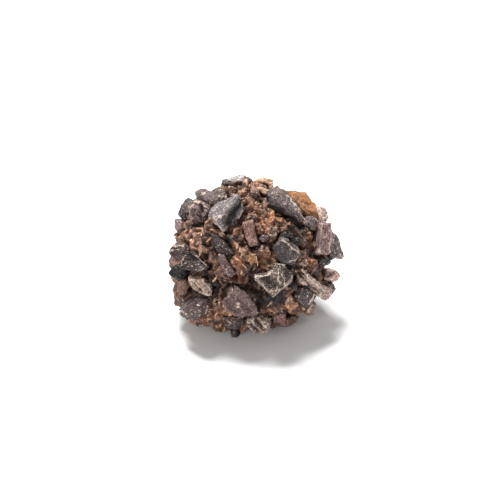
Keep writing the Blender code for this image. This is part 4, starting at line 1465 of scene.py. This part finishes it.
# %% Place the flakes that are seen one by one
Flake = namedtuple("Flake", "right up turn length width curl tilt colour")
NAMED_FLAKES = (
    Flake(0.5, -0.9, 80, 2.3, 1.3, 0.5, 12, linear(170, 126, 92)),
    Flake(-0.1, -0.6, 76, 1.3, 0.26, 0.5, 40, linear(214, 178, 144)),
    Flake(0.5, 0.1, 12, 1.0, 0.26, 0.5, 40, linear(214, 178, 144)),
    Flake(1.1, -0.9, -82, 1.9, 0.26, 0.5, 40, linear(220, 186, 152)),
    Flake(0.7, -2.3, 52, 1.2, 0.24, 0.5, 40, linear(214, 178, 144)),
    Flake(-0.9, -1.8, -40, 1.2, 0.24, 0.5, 40, linear(204, 168, 136)),
    Flake(-5.2, -3.5, 60, 1.5, 0.45, 1.8, 60, linear(178, 138, 108)),
    Flake(-5.4, 3.2, 80, 1.5, 0.26, 1.0, 40, linear(204, 172, 146)),
    Flake(-6.6, 2.4, 60, 1.4, 0.26, 1.0, 40, linear(196, 160, 134)),
    Flake(-6.2, 4.2, 20, 1.3, 0.26, 1.0, 40, linear(200, 168, 142)),
    Flake(-7.7, 3.6, 110, 1.5, 0.26, 1.0, 40, linear(196, 162, 136)),
    Flake(4.1, -6.9, 38, 1.7, 0.26, 0.3, 30, linear(216, 192, 162)),
    Flake(3.0, -7.8, 44, 1.4, 0.30, 0.3, 30, linear(216, 192, 162)),
    Flake(3.5, 6.3, 30, 1.3, 0.9, 0.2, 10, linear(158, 112, 78)),
    Flake(4.5, 5.6, -30, 1.2, 0.8, 0.2, 15, linear(160, 116, 82)),
    Flake(-1.0, 10.6, -60, 1.8, 0.8, 1.2, 20, linear(214, 160, 132)),
)
FLAKE_REACH = 12
FLAKE_LIFT = 0.35 * MM

for flake in NAMED_FLAKES:
    forward = math.sqrt(FLAKE_REACH ** 2 - math.hypot(flake.right, flake.up) ** 2)
    direction = in_front_plane(flake.right, flake.up, forward).normalized()
    point, _ = on_surface(direction, -FLAKE_LIFT)
    upright = direction.to_track_quat("Z", "Y").to_matrix().to_4x4()
    seen_right = Matrix.Rotation(math.radians(flake.turn), 4, "Z")
    lifted = Matrix.Rotation(math.radians(flake.tilt), 4, "X")
    frame_there = Matrix.Translation(point) @ upright @ seen_right @ lifted
    add_flake(flake.length, flake.width, flake.curl, frame_there, flake.colour)
print("flakes placed:", len(NAMED_FLAKES))

# %% Strew the others
LOOSE_FLAKES = 900
ON_EDGE = 1.1
FLAKE_SINK = 0.02 * MM
FLAKE_LENGTHS = (0.5, 1.1)
LONGEST_ADDS = 0.9
FLAKE_WIDTH_SHARES = (0.3, 0.6)
FLAKE_CURLS = (0.2, 1.6)
FLAKE_LIGHTS = (0.70, 1.0)
FLAKE_SHADES = (
    linear(176, 138, 114),
    linear(146, 109, 89),
    linear(204, 172, 148),
    linear(166, 125, 99),
    linear(120, 87, 71),
)

for _ in range(LOOSE_FLAKES):
    direction = drawn_direction()
    length = draw.uniform(*FLAKE_LENGTHS) + LONGEST_ADDS * draw.random() ** 4
    width = length * draw.uniform(*FLAKE_WIDTH_SHARES)
    curl = draw.uniform(*FLAKE_CURLS)
    light = drawn_light(direction, FLAKE_LIGHTS)
    colour = [light * channel for channel in draw.choice(FLAKE_SHADES)]
    point, depth = on_surface(direction, FLAKE_SINK)
    if depth < CLEAR_OF_NIBS:
        add_flake(length, width, curl, lying(point, direction, ON_EDGE), colour)
flakes = new_piece("husk_flakes", flakes_bm)
store(flakes.data, "colour", flake_colours)
print("flakes:", len(flakes.data.polygons), "faces")

# %% [markdown]
# ## Wiring nodes
#
# The finishes are built from shader nodes. Written out in full, a node takes four or five lines, so a small
# helper adds one, sets its options and joins it in a single line. What it is fed with may be a number, a
# colour or the output of another node.

# %% A helper that adds nodes
class Wiring:
    """Adds nodes to a tree and joins them, one line a node."""

    def __init__(self, tree):
        self.tree = tree

    def feed(self, socket, value):
        """Joins an output to a socket, or sets the socket to a value."""
        if isinstance(value, bpy.types.NodeSocket):
            self.tree.links.new(value, socket)
        elif isinstance(value, tuple) and len(value) == 3 and len(socket.default_value) == 4:
            socket.default_value = (*value, 1)
        else:
            socket.default_value = value

    def node(self, kind, values, **options):
        """Adds a node of this kind with its options, and feeds its sockets, which go by name or number."""
        made = self.tree.nodes.new("ShaderNode" + kind)
        for option, setting in options.items():
            setattr(made, option, setting)
        for socket, value in values.items():
            self.feed(made.inputs[socket], value)
        return made

    def math(self, operation, first, second=0.0):
        return self.node("Math", {0: first, 1: second}, operation=operation).outputs[0]

    def times(self, first, second):
        return self.math("MULTIPLY", first, second)

    def plus(self, first, second):
        return self.math("ADD", first, second)

    def ramp(self, value, low, high):
        """0 where value is at or below low, 1 where it is at or above high, and smooth between."""
        values = {"Value": value, "From Min": low, "From Max": high}
        return self.node("MapRange", values, interpolation_type="SMOOTHSTEP").outputs["Result"]

    def mix(self, share, first, second, blend="MIX"):
        values = {"Factor": share, 6: first, 7: second}
        return self.node("Mix", values, data_type="RGBA", blend_type=blend).outputs[2]

    def noise(self, vector, scale, detail=2.0, roughness=0.5):
        values = {"Vector": vector, "Scale": scale, "Detail": detail, "Roughness": roughness}
        return self.node("TexNoise", values).outputs["Fac"]

    def dots(self, vector, scale):
        """The distance to the nearest of many scattered points."""
        return self.node("TexVoronoi", {"Vector": vector, "Scale": scale}).outputs["Distance"]

    def attribute(self, name, output):
        return self.node("Attribute", {}, attribute_name=name).outputs[output]

    def place(self):
        return self.node("TexCoord", {}).outputs["Object"]

    def scaled(self, vector, factors):
        return self.node("VectorMath", {0: vector, 1: factors}, operation="MULTIPLY").outputs[0]


print("ways to add a node:", [name for name in vars(Wiring) if not name.startswith("_")])

# %% [markdown]
# ## Groups of nodes
#
# A group is a set of nodes that is built once, with named inputs and outputs, and is then placed in every
# material that needs it, each with its own values. Two surfaces make up the bite, so there are two groups:
# the skin of a bean and damp paste. Both put out a colour, a roughness and a height, so one rule makes a
# material of either.

# %% A helper for groups
SURFACE_OUTPUTS = [
    ("Colour", "NodeSocketColor"),
    ("Roughness", "NodeSocketFloat"),
    ("Height", "NodeSocketFloat"),
]


def new_group(name, inputs, outputs):
    """An empty node group with these sockets, and its input and output nodes."""
    group = bpy.data.node_groups.new(name, "ShaderNodeTree")
    for socket_name, kind in inputs:
        group.interface.new_socket(socket_name, in_out="INPUT", socket_type=kind)
    for socket_name, kind in outputs:
        group.interface.new_socket(socket_name, in_out="OUTPUT", socket_type=kind)
    return group, group.nodes.new("NodeGroupInput"), group.nodes.new("NodeGroupOutput")


print("what each group puts out:", [name for name, _ in SURFACE_OUTPUTS])

# %% [markdown]
# ## The skin of a bean
#
# Bean is hard. Its grain runs along the nib, blotches and pores break it up, and pale dust sits in specks;
# the dust and the pale flecks are also painted glints. The number that each point keeps says what was done
# to it: above zero it is an edge, a fold or a pale stroke, and pores tear its outline; below zero it is a
# dark stroke, painted shade, where neither dust nor flecks lie. Grain and dust have an amount each, so that
# a nut can be smooth and clean, and husk rough and dusty.

# %% Build the bean's group
bean_group, bean_in, bean_out = new_group(
    "bean_skin",
    [
        ("Colour", "NodeSocketColor"),
        ("Pale Colour", "NodeSocketColor"),
        ("Grain Amount", "NodeSocketFloat"),
        ("Dust And Glint Amount", "NodeSocketFloat"),
    ],
    SURFACE_OUTPUTS,
)
# Pale dust, which also stands for small painted glints.
DUST_AND_GLINT_COLOUR = linear(228, 216, 202)
bean = Wiring(bean_group)
skin, pale_colour, grain_amount, dust_and_glint_amount = bean_in.outputs[:4]
along_nib = bean.attribute("along_nib", "Vector")
pale_marks_and_shade = bean.attribute("pale", "Fac")

# Grain, blotches and pores darken or lighten the skin.
grain = bean.noise(bean.scaled(along_nib, (1.3, 5.0, 5.0)), 1.0, 4, 0.7)
pores = bean.noise(along_nib, 5.0, 3, 0.75)
blotches = bean.noise(along_nib, 0.8, 2, 0.5)
for mask, factors in (
    (bean.ramp(grain, 0.44, 0.60), (0.44, 0.42, 0.42)),
    (bean.ramp(blotches, 0.45, 0.70), (1.30, 1.27, 1.28)),
    (bean.ramp(pores, 0.46, 0.37), (0.40, 0.38, 0.38)),
    (bean.ramp(pores, 0.54, 0.62), (2.7, 2.6, 2.5)),
):
    skin = bean.mix(bean.times(mask, grain_amount), skin, factors, "MULTIPLY")

# Dust and flecks, also painted glints, lie in patches, and keep off the painted shade.
unshaded = bean.ramp(pale_marks_and_shade, -0.60, -0.10)
dust_and_glint_patches = bean.ramp(bean.noise(along_nib, 0.9, 1), 0.46, 0.54)
dust_and_glints = bean.times(bean.ramp(bean.dots(along_nib, 1.7), 0.20, 0.11), dust_and_glint_patches)
dust_and_glints = bean.times(dust_and_glints, bean.times(unshaded, dust_and_glint_amount))
flecks_and_glints = bean.ramp(bean.noise(along_nib, 5.0, 2, 0.7), 0.60, 0.67)
flecks_and_glints = bean.times(flecks_and_glints, bean.plus(bean.times(dust_and_glint_patches, 0.45), 0.18))
flecks_and_glints = bean.times(flecks_and_glints, bean.times(unshaded, grain_amount))

# Edges, folds and pale strokes, with an outline that the pores tear.
torn = bean.plus(bean.times(pale_marks_and_shade, 0.85), bean.times(bean.math("SUBTRACT", pores, 0.5), 2.4))
pale = bean.math("MAXIMUM", bean.ramp(torn, 0.34, 0.54), flecks_and_glints)
skin = bean.mix(bean.times(pale, 0.92), skin, pale_colour)
skin = bean.mix(dust_and_glints, skin, DUST_AND_GLINT_COLOUR)

rough = bean.plus(bean.times(pores, 0.35), 0.28)
height = bean.plus(grain, bean.times(pores, 0.6))
bean.feed(bean_out.inputs["Colour"], skin)
bean.feed(bean_out.inputs["Roughness"], bean.math("MAXIMUM", rough, bean.times(pale, 0.7)))
bean.feed(bean_out.inputs["Height"], bean.plus(height, bean.times(dust_and_glints, 0.5)))
print("nodes in the bean's group:", len(bean_group.nodes))

# %% [markdown]
# ## Damp paste
#
# Paste is soft and damp. Noise that is stretched upright in some places and level in others gives its
# shreds, nut blots it paler and warmer, and grit stands out in grains. Fine crinkled lines of skin and fibre
# are painted pale cream, which also paints the light they catch, but only where the paste is light enough to
# hold nut, so their mask follows its own colour. What is shredded dark is also the wetter, so the same mask
# feeds the roughness.

# %% Build the paste's group
damp_group, damp_in, damp_out = new_group("damp_paste", [("Colour", "NodeSocketColor")], SURFACE_OUTPUTS)
CRINKLE_AND_GLINT_COLOUR = linear(224, 192, 162)
damp = Wiring(damp_group)
here = damp.place()
tone = damp_in.outputs["Colour"]

# Shreds, upright or level.
upright = damp.noise(damp.scaled(here, (1.0, 1.0, 0.35)), 3900, 3, 0.75)
level = damp.noise(damp.scaled(here, (0.35, 0.6, 1.0)), 3900, 3, 0.75)
combed = damp.ramp(damp.noise(here, 350, 1), 0.40, 0.60)
shreds = damp.plus(damp.times(upright, combed), damp.times(level, damp.math("SUBTRACT", 1.0, combed)))

# Blots of nut, grains of grit, and crinkled lines, pale fibre and painted highlight, where the paste is
# light.
blots = damp.noise(here, 420, 2, 0.5)
grit = damp.dots(here, 2600)
side = damp.math("ABSOLUTE", damp.math("SUBTRACT", damp.noise(here, 1000, 2, 0.55), 0.5))
patchy = damp.ramp(damp.noise(here, 450, 1), 0.36, 0.52)
crinkle_and_glint = damp.times(damp.ramp(side, 0.028, 0.004), patchy)
crinkle_and_glint = damp.times(crinkle_and_glint, damp.ramp(tone, 0.010, 0.055))

for mask, factors in (
    (damp.ramp(shreds, 0.50, 0.38), (0.42, 0.38, 0.36)),
    (damp.ramp(shreds, 0.54, 0.64), (2.0, 1.86, 1.74)),
    (damp.ramp(blots, 0.50, 0.68), (1.36, 1.17, 1.0)),
    (damp.times(damp.ramp(grit, 0.30, 0.10), 0.5), (1.5, 1.45, 1.4)),
):
    tone = damp.mix(mask, tone, factors, "MULTIPLY")
# Pale fibre and painted highlight: the crinkled lines are mixed towards cream.
tone = damp.mix(damp.times(crinkle_and_glint, 0.75), tone, CRINKLE_AND_GLINT_COLOUR)

relief = damp.plus(shreds, damp.times(grit, -0.5))
damp.feed(damp_out.inputs["Colour"], tone)
damp.feed(damp_out.inputs["Roughness"], damp.plus(damp.times(shreds, 0.5), 0.22))
damp.feed(damp_out.inputs["Height"], damp.plus(relief, damp.times(crinkle_and_glint, 0.6)))
print("nodes in the paste's group:", len(damp_group.nodes))

# %% [markdown]
# ## The materials
#
# Each material takes its colour from the piece's own points, runs it through its group, and sets what is
# uniform on the shader itself. Damp paste shines more than dry bean does, so its reflection is stronger.
# The height that the group puts out feeds a bump, which is for what is finer than the mesh: deep on nibs
# and paste, faint on bits.

# %% Make a material
SOFT_SHINE, HARD_SHINE = 0.5, 0.2
DEEP_RELIEF, BIT_RELIEF, FLAKE_RELIEF = 0.16 * MM, 0.05 * MM, 0.02 * MM


def dressed(name, group, amounts, relief, shine):
    """A material that runs the points' colours through a group."""
    made = bpy.data.materials.new(name)
    made.use_nodes = True
    wires = Wiring(made.node_tree)
    colour = wires.attribute("colour", "Color")
    surface_node = wires.node("Group", {"Colour": colour, **amounts}, node_tree=group)
    bump = wires.node("Bump", {"Strength": 1.0, "Distance": relief, "Height": surface_node.outputs["Height"]})
    shader = made.node_tree.nodes["Principled BSDF"]
    wires.feed(shader.inputs["Base Color"], surface_node.outputs["Colour"])
    wires.feed(shader.inputs["Roughness"], surface_node.outputs["Roughness"])
    wires.feed(shader.inputs["Normal"], bump.outputs["Normal"])
    shader.inputs["Specular IOR Level"].default_value = shine
    return made


finish_of = {paste: dressed("paste", damp_group, {}, DEEP_RELIEF, SOFT_SHINE)}
for piece in crumb_pieces:
    finish_of[piece] = dressed(piece.name, damp_group, {}, BIT_RELIEF, SOFT_SHINE)
finish_of[flakes] = dressed("husk_flakes", damp_group, {}, FLAKE_RELIEF, HARD_SHINE)
print("soft materials:", [material.name for material in finish_of.values()])

# %% The nibs' materials
HUSK_PALE = linear(202, 182, 166)
BEAN_AMOUNTS = {
    "slate_nibs": {"Pale Colour": HUSK_PALE, "Grain Amount": 0.9, "Dust And Glint Amount": 1.0},
    "dark_nibs": {"Pale Colour": HUSK_PALE, "Grain Amount": 1.0, "Dust And Glint Amount": 0.8},
    "umber_nibs": {"Pale Colour": linear(190, 156, 138), "Grain Amount": 1.0, "Dust And Glint Amount": 0.6},
    "husked_nibs": {"Pale Colour": linear(214, 196, 180), "Grain Amount": 1.0, "Dust And Glint Amount": 1.0},
    "nut_pieces": {"Pale Colour": linear(216, 176, 138), "Grain Amount": 0.5, "Dust And Glint Amount": 0.0},
}

for name, piece in nib_pieces.items():
    finish_of[piece] = dressed(name, bean_group, BEAN_AMOUNTS[name], DEEP_RELIEF, HARD_SHINE)
print("materials in all:", len(finish_of))

# %% [markdown]
# ## Handing the pieces over
#
# The bite doesn't move, so every piece rides on its one body. Together the pieces stand in for the plain
# solid, which is hidden.

# %% Put the materials on
for piece, material in finish_of.items():
    piece.data.materials.clear()
    piece.data.materials.append(material)
    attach(piece, "root")
    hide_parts("cacao_bite")

print("pieces:", len(finish_of))
